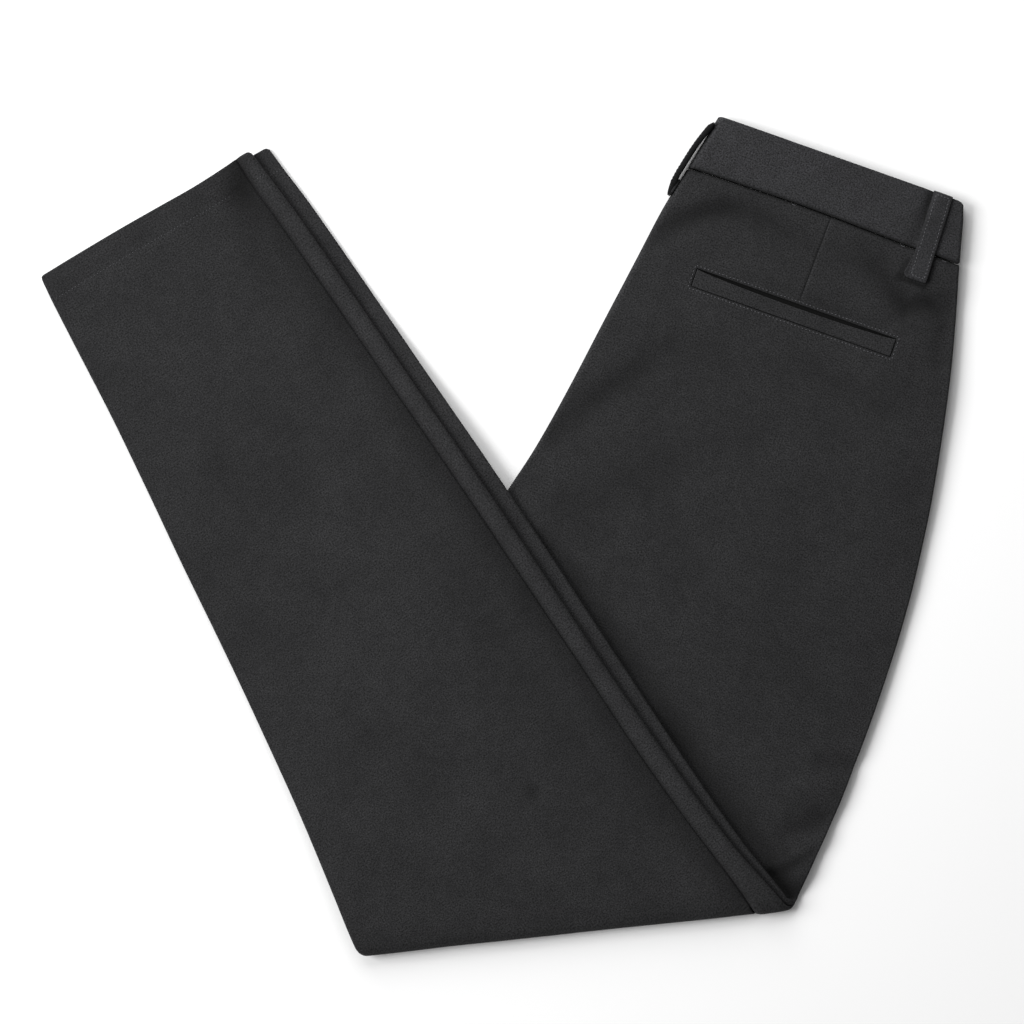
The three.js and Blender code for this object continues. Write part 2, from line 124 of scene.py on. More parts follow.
def new_material(name):
    """An empty material and its node tree."""
    made = bpy.data.materials.new(name)
    made.use_nodes = True
    made.node_tree.nodes.clear()
    return made, made.node_tree


bpy.ops.object.select_all(action="DESELECT")
bpy.ops.mesh.primitive_plane_add(size=TABLE_SIZE, location=(0, 0, 0))
table = bpy.context.object
table.name = "table"
paint, tree = new_material("white_table_paint")
coat = add_node(tree, "ShaderNodeBsdfPrincipled", Base_Color=linear("F8F8F8"), Roughness=0.8)
add_node(tree, "ShaderNodeOutputMaterial", {"Surface": coat.outputs["BSDF"]})
table.data.materials.append(paint)
table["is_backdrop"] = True

for lamp_of in (KEY, FILL):
    bpy.ops.object.light_add(type="AREA", location=lamp_of["place"])
    lamp = bpy.context.object
    lamp.data.shape = "SQUARE"
    lamp.data.size = lamp_of["size"]
    lamp.data.energy = lamp_of["watts"]
    lamp.rotation_euler = (-lamp.location).to_track_quat("-Z", "Y").to_euler()

world = bpy.data.worlds.new("studio")
world.use_nodes = True
world.node_tree.nodes["Background"].inputs["Color"].default_value = (1, 1, 1, 1)
world.node_tree.nodes["Background"].inputs["Strength"].default_value = WORLD_STRENGTH
bpy.context.scene.world = world
bpy.context.scene.view_settings.view_transform = "Standard"
print("key lamp", KEY, "fill lamp", FILL, "world", WORLD_STRENGTH)

# %% [markdown]
# ## The unfolded trousers
#
# A garment is easiest to describe before it is folded. Each row of the table is one straight section
# through the pressed trousers: where its inner end lies (the seat fold, then the inseam) and where its
# outer end lies (the side). Across and down are measured from the middle of the waistband's top edge. The
# other columns are:
#
# - ply: the distance from one of the four layers to the next
# - split: 0 where the seat fold holds all four layers, 1 where each leg has an edge of its own
# - step: how far the left leg's side lies inside the right leg's
# - wrap: how far the left leg's side seam lies inside that

# %% Sections
GAP = 0.3  # mm between two pieces that touch
TWILL = 1.1  # thickness of one layer
HEM_CLOTH = 1.7  # where the hem is turned up
BAND_CLOTH = 2.0  # where the waistband is doubled over its interlining
LOOP_CLOTH = 1.2  # the strap of a belt loop

COLUMNS = "name inner_across inner_down outer_across outer_down ply split step wrap".split()
SECTIONS = [
    ("waist", -84.5, -0.45, 84.5, -0.45, 2.75, 0, 0, 13),
    ("band seam", -92.5, 38.3, 94.6, 38.3, 2.75, 0, 0, 13),
    ("dart", -98.8, 68, 103.1, 68, 2.65, 0, 0, 13),
    ("pocket", -103.8, 103, 112.1, 103, 2.55, 0, 0, 13),
    ("hip", -110.6, 150, 122.0, 150, 2.4, 0, 0, 13),
    ("seat", -118.5, 205, 130.3, 197, 2.2, 0, 0, 13),
    ("low seat", -125.2, 243, 133.2, 219, 2.05, 0.3, 0, 13),
    ("crotch curve", -132.5, 273, 135.2, 236, 2.0, 0.7, 0, 13),
    ("crotch", -138.0, 296, 136.8, 252, 2.0, 1, 0, 13),
    ("top thigh", -135.5, 345, 139.0, 290, 2.0, 1, 0, 13),
    ("mid thigh", -132.5, 400, 139.6, 330, 2.0, 1, 0, 13),
    ("low thigh", -128.7, 470, 138.6, 385, 2.0, 1, 0, 13),
    ("above knee", -124.8, 540, 135.3, 431, 2.0, 1, 0, 13),
    ("fold start", -122.5, 583.2, 133.0, 459.1, 2.0, 1, 0.5, 24),
    ("fold end", -120.5, 598.3, 132.5, 475.6, 2.0, 1, 4.4, 20.8),
    ("below knee", -113.8, 636.7, 127.5, 525, 2.0, 1, 7.4, 15.6),
    ("top shin", -104.6, 692.4, 124.6, 590, 2.0, 1, 9.3, 15),
    ("calf", -97.1, 749, 123.3, 665, 2.0, 1, 10.8, 13.4),
    ("low calf", -90.0, 806, 122.0, 745, 2.0, 1, 11, 13.3),
    ("mid shin", -83.6, 863.8, 120.3, 815, 2.0, 1, 11.3, 12.8),
    ("low shin", -76.5, 921, 117.5, 885, 2.0, 1, 11.2, 12.7),
    ("ankle", -70.1, 978.5, 115.0, 953, 2.0, 1, 11, 12.7),
    ("above hem", -65.6, 1030.5, 111.8, 1024, 2.05, 1, 10.8, 12.3),
    ("hem stitch", -63.1, 1056.5, 109.6, 1050, 2.2, 1, 10.8, 11.8),
    ("hem", -61.2, 1073.5, 108.5, 1067, 2.4, 1, 11, 10.8),
]
table_of = np.array([row[1:] for row in SECTIONS], float)
ROWS = (table_of[:, 1] + table_of[:, 3]) / 2  # a section is found by how far down its middle lies
ROW = {row[0]: float(t) for row, t in zip(SECTIONS, ROWS)}


def smooth(knots, values, at):
    """Values between the knots, on curves that never swing past them."""
    knots, values = np.asarray(knots, float), np.asarray(values, float)
    at = np.clip(at, knots[0], knots[-1])
    step = np.diff(knots)
    slope = np.diff(values) / step
    before, after = slope[:-1], slope[1:]
    same_way = before * after > 0
    heavy, light = 2 * step[1:] + step[:-1], step[1:] + 2 * step[:-1]
    safe_before, safe_after = np.where(same_way, before, 1), np.where(same_way, after, 1)
    middle = np.where(same_way, (heavy + light) / (heavy / safe_before + light / safe_after), 0)
    tangent = np.concatenate([slope[:1], middle, slope[-1:]])
    i = np.clip(np.searchsorted(knots, at, side="right") - 1, 0, len(step) - 1)
    x = (at - knots[i]) / step[i]
    return (
        (2 * x**3 - 3 * x**2 + 1) * values[i]
        + (x**3 - 2 * x**2 + x) * step[i] * tangent[i]
        + (3 * x**2 - 2 * x**3) * values[i + 1]
        + (x**3 - x**2) * step[i] * tangent[i + 1]
    )


def section(t):
    """The sections' values at the distances t down, with each one's width, stack and edge radius."""
    t = np.asarray(t, float)
    found = {name: smooth(ROWS, table_of[:, i], t) for i, name in enumerate(COLUMNS[1:])}
    found["width"] = np.hypot(
        found["outer_across"] - found["inner_across"], found["outer_down"] - found["inner_down"]
    )
    found["stack"] = 3 * found["ply"] + TWILL
    found["edge"] = (found["ply"] + TWILL) / 2
    return found


knee = section(ROW["fold start"])
print("sections:", len(SECTIONS), " stack at the knee in mm:", round(float(knee["stack"]), 2))

# %% [markdown]
# ## Laying the cloth
#
# One function takes a point of the unfolded stack to its place on the table. Up to the knee fold a point
# keeps its height. On the fold it runs round half a circle. Past the fold the stack is turned over and lies
# on the thigh, and comes down to the table where there is no thigh under it. All pieces go through this
# function, so they fit each other in every fold.

# %% The knee fold
WAIST_TURN = math.radians(19.5)  # the waistband's slant across the picture
WAIST_X, WAIST_Y = 219.63, 243.96  # mm, where the middle of the waistband's top edge lies
DROP_START, DROP_END = 3, 130  # mm past the thigh's edge, where the legs start to come down and are down
FOLD_SQUASH = 0.2  # the fold's edge is pressed flatter than two whole stacks,
FOLD_SQUASH_WIDTH = 11  # over this many mm,
# and so it reaches further out towards the side: shares of the fold's length, and of the fold's radius there
FOLD_REACH_AT = (0, 0.08, 0.2, 0.35, 0.5, 0.7, 0.85, 0.92, 0.96, 1)
FOLD_REACH = (1.0, 0.95, 0.9, 0.945, 0.985, 1.025, 1.055, 1.13, 1.15, 1.12)
FOLD_CORNERS = (5.5, 2)  # mm, radius at the inseam and at the side

knee_stack = float(knee["stack"])
fold_axis = knee_stack + GAP / 2
fold_length = 2 * fold_axis
fold_inner = np.array([knee["inner_across"], knee["inner_down"]])
fold_along = np.array([knee["outer_across"], knee["outer_down"]]) - fold_inner
fold_along /= np.hypot(*fold_along)
fold_out = np.array([-fold_along[1], fold_along[0]])
crotch = np.array([section(ROW["crotch"])["inner_across"], section(ROW["crotch"])["inner_down"]])
thigh_along = (fold_inner - crotch) / np.hypot(*(fold_inner - crotch))
thigh_out = np.array([-thigh_along[1], thigh_along[0]])


def ease(value, low, high):
    """0 below low, 1 above high, and a soft curve between."""
    x = np.clip((value - low) / (high - low), 0, 1)
    return x * x * (3 - 2 * x)


def bell(distance, width):
    """1 at no distance, a third at the given width, and almost nothing at twice that."""
    return np.exp(-((distance / width) ** 2))


def past_fold(across, down):
    """How far past the fold's start a point of the unfolded cloth lies."""
    return (across - fold_inner[0]) * fold_out[0] + (down - fold_inner[1]) * fold_out[1]


def lay(across, down, height, stack, reach_share=1.0):
    """Where a point of the unfolded stack lies on the table, in mm. reach_share pulls the fold's edge in."""
    past = past_fold(across, down)
    on_fold = (past > 0) & (past < fold_length)
    turned = past >= fold_length
    angle = np.pi * np.clip(past / fold_length, 0, 1)
    radius = fold_axis - height
    bulge = radius * np.sin(angle) * reach_share
    reach = np.where(on_fold, bulge, np.where(turned, fold_length - past, past))
    x = across + (reach - past) * fold_out[0]
    y = down + (reach - past) * fold_out[1]
    outside = (x - crotch[0]) * thigh_out[0] + (y - crotch[1]) * thigh_out[1]
    dropped = ease(outside, DROP_START, DROP_END) * ease(past - fold_length, 0, DROP_END / 2)
    z = np.where(on_fold, fold_axis - radius * np.cos(angle), height)
    z = np.where(turned, (knee_stack + GAP) * (1 - dropped) + stack - height, z)
    z = z * (1 - FOLD_SQUASH * bell(fold_axis - reach, FOLD_SQUASH_WIDTH))
    turn_x, turn_y = math.cos(WAIST_TURN), math.sin(WAIST_TURN)
    return np.stack([WAIST_X + x * turn_x - y * turn_y, WAIST_Y - x * turn_y - y * turn_x, z], axis=-1)


print("knee fold: radius", round(fold_axis, 2), "mm, direction", fold_along.round(3))

# %% [markdown]
# Pressed cloth is never quite flat. The stack is thinner along its edges, where there is nothing inside it,
# and a hand that smooths it leaves shallow troughs. The main ones in the photograph are written down here.
# Each is its half width and then a chain of points, and has a depth at each point. A negative depth makes a
# ridge. The layers below follow the top one less and less, down to the table.

# %% Soft edges and creases
SOFT_WIDTH = 17  # mm from an edge, over which the stack gets thinner
SOFT_INNER, SOFT_OUTER = 0.16, 0.2  # by these shares at the inner and at the outer edge
LOWEST = TWILL / 2  # mm, the middle of the layer that lies on the table
CREASES_UPPER = [  # half width, then the places along it: across, down, depth
    (8, (-97, 88, 1.2), (-86, 75, 2.4), (-74, 63, 3.2), (-58, 54, 3.3), (-42, 52, 2.0), (-20, 56, 1.4),
     (4, 60, 0.5)),
    (10, (10, 60, 0.5), (30, 55, 0.8), (46, 57, 1.0)),
    (8, (46, 60, 0.9), (58, 66, 2.2), (72, 75, 3.4), (84, 70, 2.4), (95, 66, 1.5)),
    (6, (84, 68, 1.2), (98, 75, 1.4), (104, 104, 0.6)),
    (10, (-64, 150, 0.7), (-78, 174, 1.8), (-95, 196, 2.0), (-115, 228, 1.6)),
    (12, (-56, 148, 0.4), (-30, 142, 0.5)),
    (11, (15, 136, 0.4), (50, 138, 0.9), (81, 142, 0.8)),
    (6, (22, 120, -0.3), (66, 124, -0.4)),
    (5, (-34, 92, 0.5), (-12, 93, 0.9), (2, 92, 0.6), (18, 93, 1.5), (36, 93, 1.0), (62, 93, 0.6)),
    (3, (62.4, 1, 1.6), (61, 20, 1.0), (60.5, 37, 0.9)),
    (11, (-92, 268, 1.0), (-70, 264, 0.8)),
    (16, (-60, 240, 0.7), (-38, 226, 0.7)),
    (6, (118, 371, 1.0), (136, 367, 1.4)),
    (5, (120, 406, 0.7), (134, 401, 0.8)),
    (6, (108, 392, -0.6), (128, 386, -0.6)),
    (6, (113, 420, 1.2), (131, 409, 1.6)),
    (3.6, (114, 444, -0.5), (126, 431, -0.7), (136, 415, -0.5)),
    (4.5, (118, 447, 1.0), (132, 429, 0.9)),
    (5, (113, 451, 2.6), (128, 458, 1.6)),
    (4, (127, 447, -0.6), (133, 443, -0.6)),
    (14, (8, 391, 0.7), (30, 392, 0.7)),
    (20, (60, 300, 0.6), (96, 330, 0.6)),
]
CREASES_LOWER = [
    (8, (72, 1047, 1.2), (88, 1062, 1.5)),
    (8, (-45, 1062, 0.35), (70, 1058, 0.35)),
    (10, (80, 1046, 1.5), (66, 1012, 1.0), (66, 960, 0.5), (66, 880, 0.4)),
    (16, (62, 860, 0.5), (66, 760, 0.7), (70, 660, 0.9), (84, 550, 0.6)),
    (5, (30.5, 619, 1.4), (31, 620, 1.4)),
    (22, (-14, 622, -0.6), (-6, 640, -0.6)),
    (14, (-74, 842, 0.6), (-72, 800, 0.6)),
    (24, (-30, 900, 0.5), (4, 872, 0.5)),
    (18, (-60, 720, 0.5), (-30, 700, 0.5)),
]
PAINTED_SHADOW_LINES = [  # narrow painted shadow lines where a loop rests on the cloth; the third value is how dark
    (2.0, (61.5, 58.6, 1.3), (76.8, 59.4, 1.3)),
    (2.0, (62.2, 0.5, 1.2), (62.5, 16, 0.8), (62.8, 34, 0.2)),
    (1.8, (61.2, 48, 0.8), (60.4, 58, 1.0)),
    (1.8, (78.2, 44, 0.3), (78.6, 58, 0.4)),
]
WAVES = [  # wavelength in mm, direction in degrees, phase, height in mm
    (131, 24, 0.4, 0.2), (87, 112, 2.1, 0.14), (61, 67, 4.4, 0.1), (43, 151, 1.2, 0.06), (33, 8, 3.0, 0.04),
]  # fmt: skip


def waves(across, down):
    """Long low waves all over the cloth, in mm."""
    rise = np.zeros(np.broadcast(across, down).shape)
    for wavelength, direction, phase, height in WAVES:
        way = math.radians(direction)
        rise += height * np.sin(
            2 * math.pi * (across * math.cos(way) + down * math.sin(way)) / wavelength + phase
        )
    return rise


def creased(creases, across, down):
    """How far the creases lift the cloth's top above its plain form, in mm."""
    rise = np.zeros(np.broadcast(across, down).shape)
    for half_width, *line in creases:
        deepest = 0 * rise
        for (from_across, from_down, from_depth), (to_across, to_down, to_depth) in zip(line, line[1:]):
            run_across, run_down = to_across - from_across, to_down - from_down
            share = (across - from_across) * run_across + (down - from_down) * run_down
            share = np.clip(share / (run_across**2 + run_down**2), 0, 1)
            away_across = across - from_across - share * run_across
            away_down = down - from_down - share * run_down
            depth = from_depth + share * (to_depth - from_depth)
            depth = depth * np.exp(-(away_across**2 + away_down**2) / half_width**2)
            deepest = np.where(np.abs(depth) > np.abs(deepest), depth, deepest)
        rise -= deepest
    return rise


print("creases:", len(CREASES_UPPER), "above the fold and", len(CREASES_LOWER), "below it")

# %% [markdown]
# One more function puts it all together. Besides the creases there are forms that follow from how the
# trousers are sewn and folded: a trough along the left leg's side seam, the front leg's strip beside it,
# which lies on the seam's allowances, and the trough that the turned-up legs press into the thigh. The
# function also gives the painted shade that the colour of the cloth needs: darker deep in a crease, beside
# the turned-up legs, beside the step between the legs and by the loops, and a painted highlight on ridges.

# %% Placing a point
SEAM_BOW_AT = (-94, -86.5, -50, -15, 30, 65, 96)  # the waistband's seam isn't quite straight,
SEAM_BOW = (0.8, -0.7, -1.4, -1.8, -0.9, 0, 0.1)
HEM_BOW_AT = (-60, -30, 0, 30, 50, 65, 80, 88, 97)  # nor is the left hem, which is longer at its side
HEM_BOW = (0.7, 1.2, 1.5, 1.3, 1.0, 1.4, 2.4, 3.2, 3.1)
VALLEY = 2.1  # mm, depth of the trough along the left leg's side seam
VALLEY_ON_FOLD = 0.3  # share of it that is left where the fold stretches the cloth
VALLEY_BEFORE, VALLEY_AFTER = 13, 3.5  # mm, its half width on the back leg and on the front leg
STRIP_RISE, STRIP_BANK = 0.8, 4  # mm, how high the front leg's strip lies, and how wide its banks are
BESIDE_DEPTH, BESIDE_WIDTH = 1.1, 10  # mm, the trough that the turned-up legs press into the thigh
BESIDE_AT = (280, 330, 460)  # mm down, from the crotch to the knee, where the painted shadow beside the turned-up legs
BESIDE_SHADE = (0.25, 0.52, 0.62)  # is this dark,
BESIDE_FAR = (6, 9, 15)  # and this many mm wide to the right of its darkest line
BESIDE_NEAR, BESIDE_DARKEST = 4.5, 5.5  # mm, its width to the left, and that line's distance from the legs
STEP_SHADE, STEP_SHADE_WIDTH = 0.2, 4  # painted shade beside the step from the upper leg down to the lower one, and its width in mm
DEEP = 4.0  # mm, the crease depth at which the painted shade is darkest
RIDGE = -0.4  # the most that a ridge is lightened by painted highlight, as a share of the darkest painted shade
EDGE_POINTS = 12  # along the turned-up legs' edge

# The turned-up legs' edge, as a line on the upper half
turned_up = section(np.linspace(ROW["low calf"], ROW["fold end"], EDGE_POINTS))
to_mirror = fold_length - 2 * past_fold(turned_up["outer_across"], turned_up["outer_down"])
edge_across = turned_up["outer_across"] + to_mirror * fold_out[0]
edge_down = turned_up["outer_down"] + to_mirror * fold_out[1]
edge_slope = math.atan2(edge_down[-1] - edge_down[0], edge_across[-1] - edge_across[0])


def drawn_back(radius, inside):
    """How far a rounded corner draws an edge back, at a distance inside the corner's other edge."""
    left = np.clip(radius - inside, 0, radius)
    return radius - np.sqrt(radius**2 - left**2)


def fold_reach(along, width):
    """How far the fold's edge reaches out, as a share of the fold's radius. Its two corners are rounded."""
    share = smooth(FOLD_REACH_AT, FOLD_REACH, along / width)
    for radius, inside in zip(FOLD_CORNERS, (along, width - along)):
        share = share - drawn_back(radius, inside) / fold_axis
    return share


def seam_at(s):
    """Where the left leg's side seam lies along the sections."""
    return s["width"] - s["step"] - s["wrap"]


def bow(t, across, down, bowed):
    """The place down a section, moved where the band's seam isn't straight, and on the left leg its hem."""
    seam = ROW["band seam"]
    near_seam = np.where(down < seam, np.clip(down / seam, 0, 1), 1 - ease(down, seam, 2 * seam))
    down = down + smooth(SEAM_BOW_AT, SEAM_BOW, across) * near_seam
    if bowed:
        down = down + smooth(HEM_BOW_AT, HEM_BOW, across) * ease(t, ROW["above hem"], ROW["hem"])
    return down


def painted_contact_shade(beside, across, down):
    """Painted shadow on the thigh beside the turned-up legs, at a distance from them, and painted shadow
    lines by the loops.
    """
    from_darkest = beside - BESIDE_DARKEST
    width = np.where(from_darkest < 0, BESIDE_NEAR, np.interp(down, BESIDE_AT, BESIDE_FAR))
    shade = np.interp(down, BESIDE_AT, BESIDE_SHADE) * bell(from_darkest, width)
    return shade - creased(PAINTED_SHADOW_LINES, across, down)


def place(t, along, height, bowed=False):
    """A point of a section in mm, and what a material needs there: the place on the unfolded cloth, and its
    painted shade, from RIDGE, a painted highlight on a ridge, to 1, the darkest. bowed is for the left leg's
    hem."""
    s = section(t)
    stack, share = s["stack"], along / s["width"]
    across = s["inner_across"] + share * (s["outer_across"] - s["inner_across"])
    down = s["inner_down"] + share * (s["outer_down"] - s["inner_down"]) + np.minimum(t - ROWS[0], 0)
    down = bow(t, across, down, bowed)
    past = past_fold(across, down)
    turned = ease(past, 0, fold_length)

    beside = (np.interp(across, edge_across, edge_down) - down) * math.cos(edge_slope)
    upper = creased(CREASES_UPPER, across, down) - BESIDE_DEPTH * bell(beside, BESIDE_WIDTH)
    from_seam = along - seam_at(s)
    valley = VALLEY * bell(from_seam, np.where(from_seam < 0, VALLEY_BEFORE, VALLEY_AFTER))
    valley = valley * (1 - (1 - VALLEY_ON_FOLD) * bell(past - fold_axis, fold_axis))
    in_strip = ease(from_seam, 0, STRIP_BANK) * (1 - ease(from_seam, s["wrap"] - STRIP_BANK, s["wrap"]))
    lower = creased(CREASES_LOWER, across, down) - valley + STRIP_RISE * in_strip
    wave = waves(across, down)

    firm = 1 - SOFT_INNER * bell(along, SOFT_WIDTH)
    firm = firm - SOFT_OUTER * bell(s["width"] - along, SOFT_WIDTH)
    follows = (height - LOWEST) / (stack - 2 * LOWEST)  # 0 for the layer on the table, 1 for the top one
    upright = LOWEST + (height - LOWEST) * firm + (upper + wave) * follows
    over = stack - LOWEST - (stack - LOWEST - height) * firm - (lower + wave) * (1 - follows)
    reach_share = fold_reach(along, s["width"])
    points = lay(across, down, upright * (1 - turned) + over * turned, stack, reach_share)

    # Painted shade: beside the step, beside the turned-up legs, by the loops and deeper in a crease; a ridge
    # gets a painted highlight
    past_step = np.maximum(from_seam - s["wrap"], 0)
    step_shade = STEP_SHADE * (past_step > 0) * bell(past_step, STEP_SHADE_WIDTH)
    shade = painted_contact_shade(beside, across, down)
    painted_shade = (shade - upper / DEEP) * (1 - turned) + (step_shade - lower / DEEP) * turned
    painted_shade = np.clip(painted_shade, RIDGE, 1)
    return points, np.stack(np.broadcast_arrays(across * MM, down * MM, painted_shade), axis=-1)


print("the turned-up legs' edge slopes by", round(math.degrees(edge_slope), 1), "degrees")

# %% [markdown]
# ## A piece of cloth
#
# A cut piece is a sheet with a thickness and soft, rounded edges. It could be a plane with a Solidify
# modifier, but that gives every edge a square rim. Here the sheet is a grid of points along its middle, and
# each point knows half the thickness there, which runs out to almost nothing at a free edge. The grid is
# finer near edges and seams, where the form turns quickly. The unfolded places become the UV map, so that
# the weave follows the cloth round each fold.

# %% Lines across a section
FINE = (0, 0.12, 0.3, 0.6, 1.0, 1.6, 2.4)  # mm from an edge or a seam
STEP = 2.6  # mm between the points of cloth that shows,
COARSE = 8  # and of cloth that doesn't
CLEAR = 0.4  # share of a step that these points keep from the fine ones


def spaced(low, high, step, seams=()):
    """Places from low to high, a step apart, and closer together at both ends and on both sides of seams."""
    close = sorted({round(s + way * d, 4) for s in (low, high, *seams) for d in FINE for way in (-1, 1)})
    close = [x for x in close if low <= x <= high]
    between = [x for x in np.arange(low, high, step) if min(abs(x - c) for c in close) > CLEAR * step]
    return np.array(sorted(close + between))


def per_row(s, *values):
    """Each value as a column with one entry for each section."""
    return [np.broadcast_to(np.asarray(v, float), s["width"].shape)[:, None] for v in values]


def bend(s, along, height, radius, start, stop, steps=8):
    """Part of a circle in each section, from one angle to another in degrees."""
    angle = np.radians(np.linspace(start, stop, steps + 1))
    along, height, radius = per_row(s, along, height, radius)
    return np.stack([along + radius * np.cos(angle), height + radius * np.sin(angle)], axis=-1)


def level(s, start, stop, height, step=STEP, fine=True):
    """A line at one height in each section. Where it is fine, its points are closer together at its ends."""
    start, stop, height = per_row(s, start, stop, height)
    length = float(np.median(np.abs(stop - start)))
    share = spaced(0, length, step) / length if fine else np.linspace(0, 1, max(2, round(length / step) + 1))
    along = start + share * (stop - start)
    return np.stack([along, np.broadcast_to(height, along.shape)], axis=-1)


def hidden_level(s, start, stop, height):
    """The same where the cloth doesn't show."""
    return level(s, start, stop, height, COARSE, fine=False)


def joined(*parts):
    """One line from several that follow each other, with no point twice."""
    line = np.concatenate(parts, axis=1)
    moved = np.abs(np.diff(line, axis=1)).max(axis=(0, 2)) > 1e-6
    return line[:, np.concatenate([[True], moved])]

# %% [markdown]
# The grid becomes a mesh with a top, an underside and a rim between them. A sheet needs a few facts more:
# which imported solid it stands for, and how large it was cut. The list of sheets keeps the sizes for the
# end.

# %% Cloth builder
THIN = 0.12  # share of the thickness left at the very edge


def mesh_piece(name, points, faces, places):
    """A mesh object from points in mm, with a UV map of the unfolded places and its faces outwards."""
    used, faces = np.unique(faces, return_inverse=True)
    faces = faces.reshape(-1, 4)
    points, places = points[used] * MM, places[used]
    a, b, c, d = (points[faces[:, i]] for i in range(4))
    volume = (a * np.cross(b, c)).sum() + (a * np.cross(c, d)).sum()
    if volume < 0:
        faces = faces[:, ::-1]
    mesh = bpy.data.meshes.new(name)
    mesh.from_pydata(points.tolist(), [], faces.tolist())
    layer = mesh.uv_layers.new(name="cloth")
    corners = np.empty(len(mesh.loops), dtype=np.int32)
    mesh.loops.foreach_get("vertex_index", corners)
    layer.data.foreach_set("uv", places[corners, :2].astype(np.float32).ravel())
    # the third value of each place is the painted shade, which the material reads
    mesh.attributes.new("painted_shade", "FLOAT", "POINT").data.foreach_set("value", places[:, 2].astype(np.float32))
    mesh.shade_smooth()
    made = bpy.data.objects.new(name, mesh)
    bpy.context.collection.objects.link(made)
    return made


def shell(name, middle, half, places, keep=None):
    """A sheet with rounded edges, from its middle surface and half its thickness at each point."""
    rows, columns = middle.shape[:2]
    down_way, across_way = np.gradient(middle, axis=0), np.gradient(middle, axis=1)
    normal = np.cross(across_way, down_way)
    normal /= np.maximum(np.linalg.norm(normal, axis=-1, keepdims=True), 1e-9)
    offset = normal * np.asarray(half)[..., None]
    points = np.concatenate([(middle + offset).reshape(-1, 3), (middle - offset).reshape(-1, 3)])
    index = np.arange(rows * columns).reshape(rows, columns)
    top = np.stack([index[:-1, :-1], index[:-1, 1:], index[1:, 1:], index[1:, :-1]], axis=-1)
    top = (top if keep is None else top[keep]).reshape(-1, 4)
    under = top[:, ::-1] + rows * columns
    sides = np.concatenate([top[:, [i, (i + 1) % 4]] for i in range(4)])
    code = sides[:, 0] * rows * columns + sides[:, 1]
    back = sides[:, 1] * rows * columns + sides[:, 0]
    free = sides[~np.isin(code, back)]
    rim = np.concatenate([free[:, ::-1], free + rows * columns], axis=1)
    both = np.concatenate([places.reshape(-1, 3)] * 2)
    return mesh_piece(name, points, np.concatenate([top, under, rim]), both)


def taper(distance, thickness):
    """Half the thickness of cloth at a distance from its free edge."""
    near = np.clip(distance / (thickness / 2), 0, 1)
    return thickness / 2 * np.maximum(np.sqrt(1 - (1 - near) ** 2), THIN)


def edge_distance(line, t, cut=(True, True)):
    """How far each point of a grid is from the sheet's side edges, and from its first and last rows.
    cut is whether the cloth ends at those rows, or goes on as another piece."""
    steps = np.hypot(np.diff(line[..., 0], axis=1), np.diff(line[..., 1], axis=1))
    run_in = np.concatenate([np.zeros((len(line), 1)), np.cumsum(steps, axis=1)], axis=1)
    distance = np.minimum(run_in, run_in[:, -1:] - run_in)
    for end, ends in zip((t[0], t[-1]), cut):
        if ends:
            distance = np.minimum(distance, np.abs(t - end)[:, None])
    return distance


sheets = []  # piece, width and length in m, area in m2


def wear(piece, node, material, line=None, t=None):
    """The piece stands for the CAD node, goes with the only body there is, and gets its material.
    A line in each section t makes it a sheet, whose cut is as wide as the line is long."""
    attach(piece, "root")
    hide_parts(node)
    piece.data.materials.append(material)
    if line is not None:
        lengths = np.hypot(np.diff(line[..., 0], axis=1), np.diff(line[..., 1], axis=1)).sum(axis=1)
        area = float(np.sum((lengths[1:] + lengths[:-1]) / 2 * np.diff(t)))
        sheets.append((piece, float(lengths.max()) * MM, float(t[-1] - t[0]) * MM, area * MM * MM))
    print(piece.name, "has", len(piece.data.polygons), "faces")


def cut_to(piece, width, length):
    """The piece is a sheet that was cut as a rectangle, in mm."""
    sheets.append((piece, width * MM, length * MM, width * length * MM * MM))

# %% [markdown]
# ## Brushed cotton twill
#
# The cloth is cotton twill, piece-dyed charcoal and brushed on its face. Twill has fine slanting ribs, 0.7
# mm apart on this cloth. Brushing lifts short fibres over them, so that from above the ribs only show as a
# fine grain, and the colour is a little cloudy where the nap lies one way or the other. The colour also
# carries painted shade: darker in troughs, seams and beside raised parts, and lighter on ridges as a painted
# highlight. Cloth has no mirror-like gloss: the roughness is high, and a little sheen lightens surfaces that
# are seen at a grazing angle.

# %% Twill material
RIB = 0.7  # mm from one twill rib to the next
GRAIN = 0.95  # mm, one tuft of nap: drawn twice as coarse as it is, because a picture pixel is 0.65 mm
CLOUD = 34  # mm, one cloudy patch
PATCH = 7  # mm, one small patch
PATCH_SHARE = 1.0  # how strong the small patches are next to the clouds
TONE_SPREAD = 0.6  # how far the noise swings from the dark grey to the light one
TUFT_NOISE = (0.3, 0.7)  # the noise in a tuft's shadow and on its tip
TWILL_ANGLE = math.radians(63)  # of the ribs
RELIEF, RELIEF_STRENGTH = 0.12, 0.35  # mm, height of ribs and tufts, and how strongly they show
PAINTED_SHADE_STRENGTH = 0.75  # painted shade: how much darker the cloth is drawn where that shade is 1
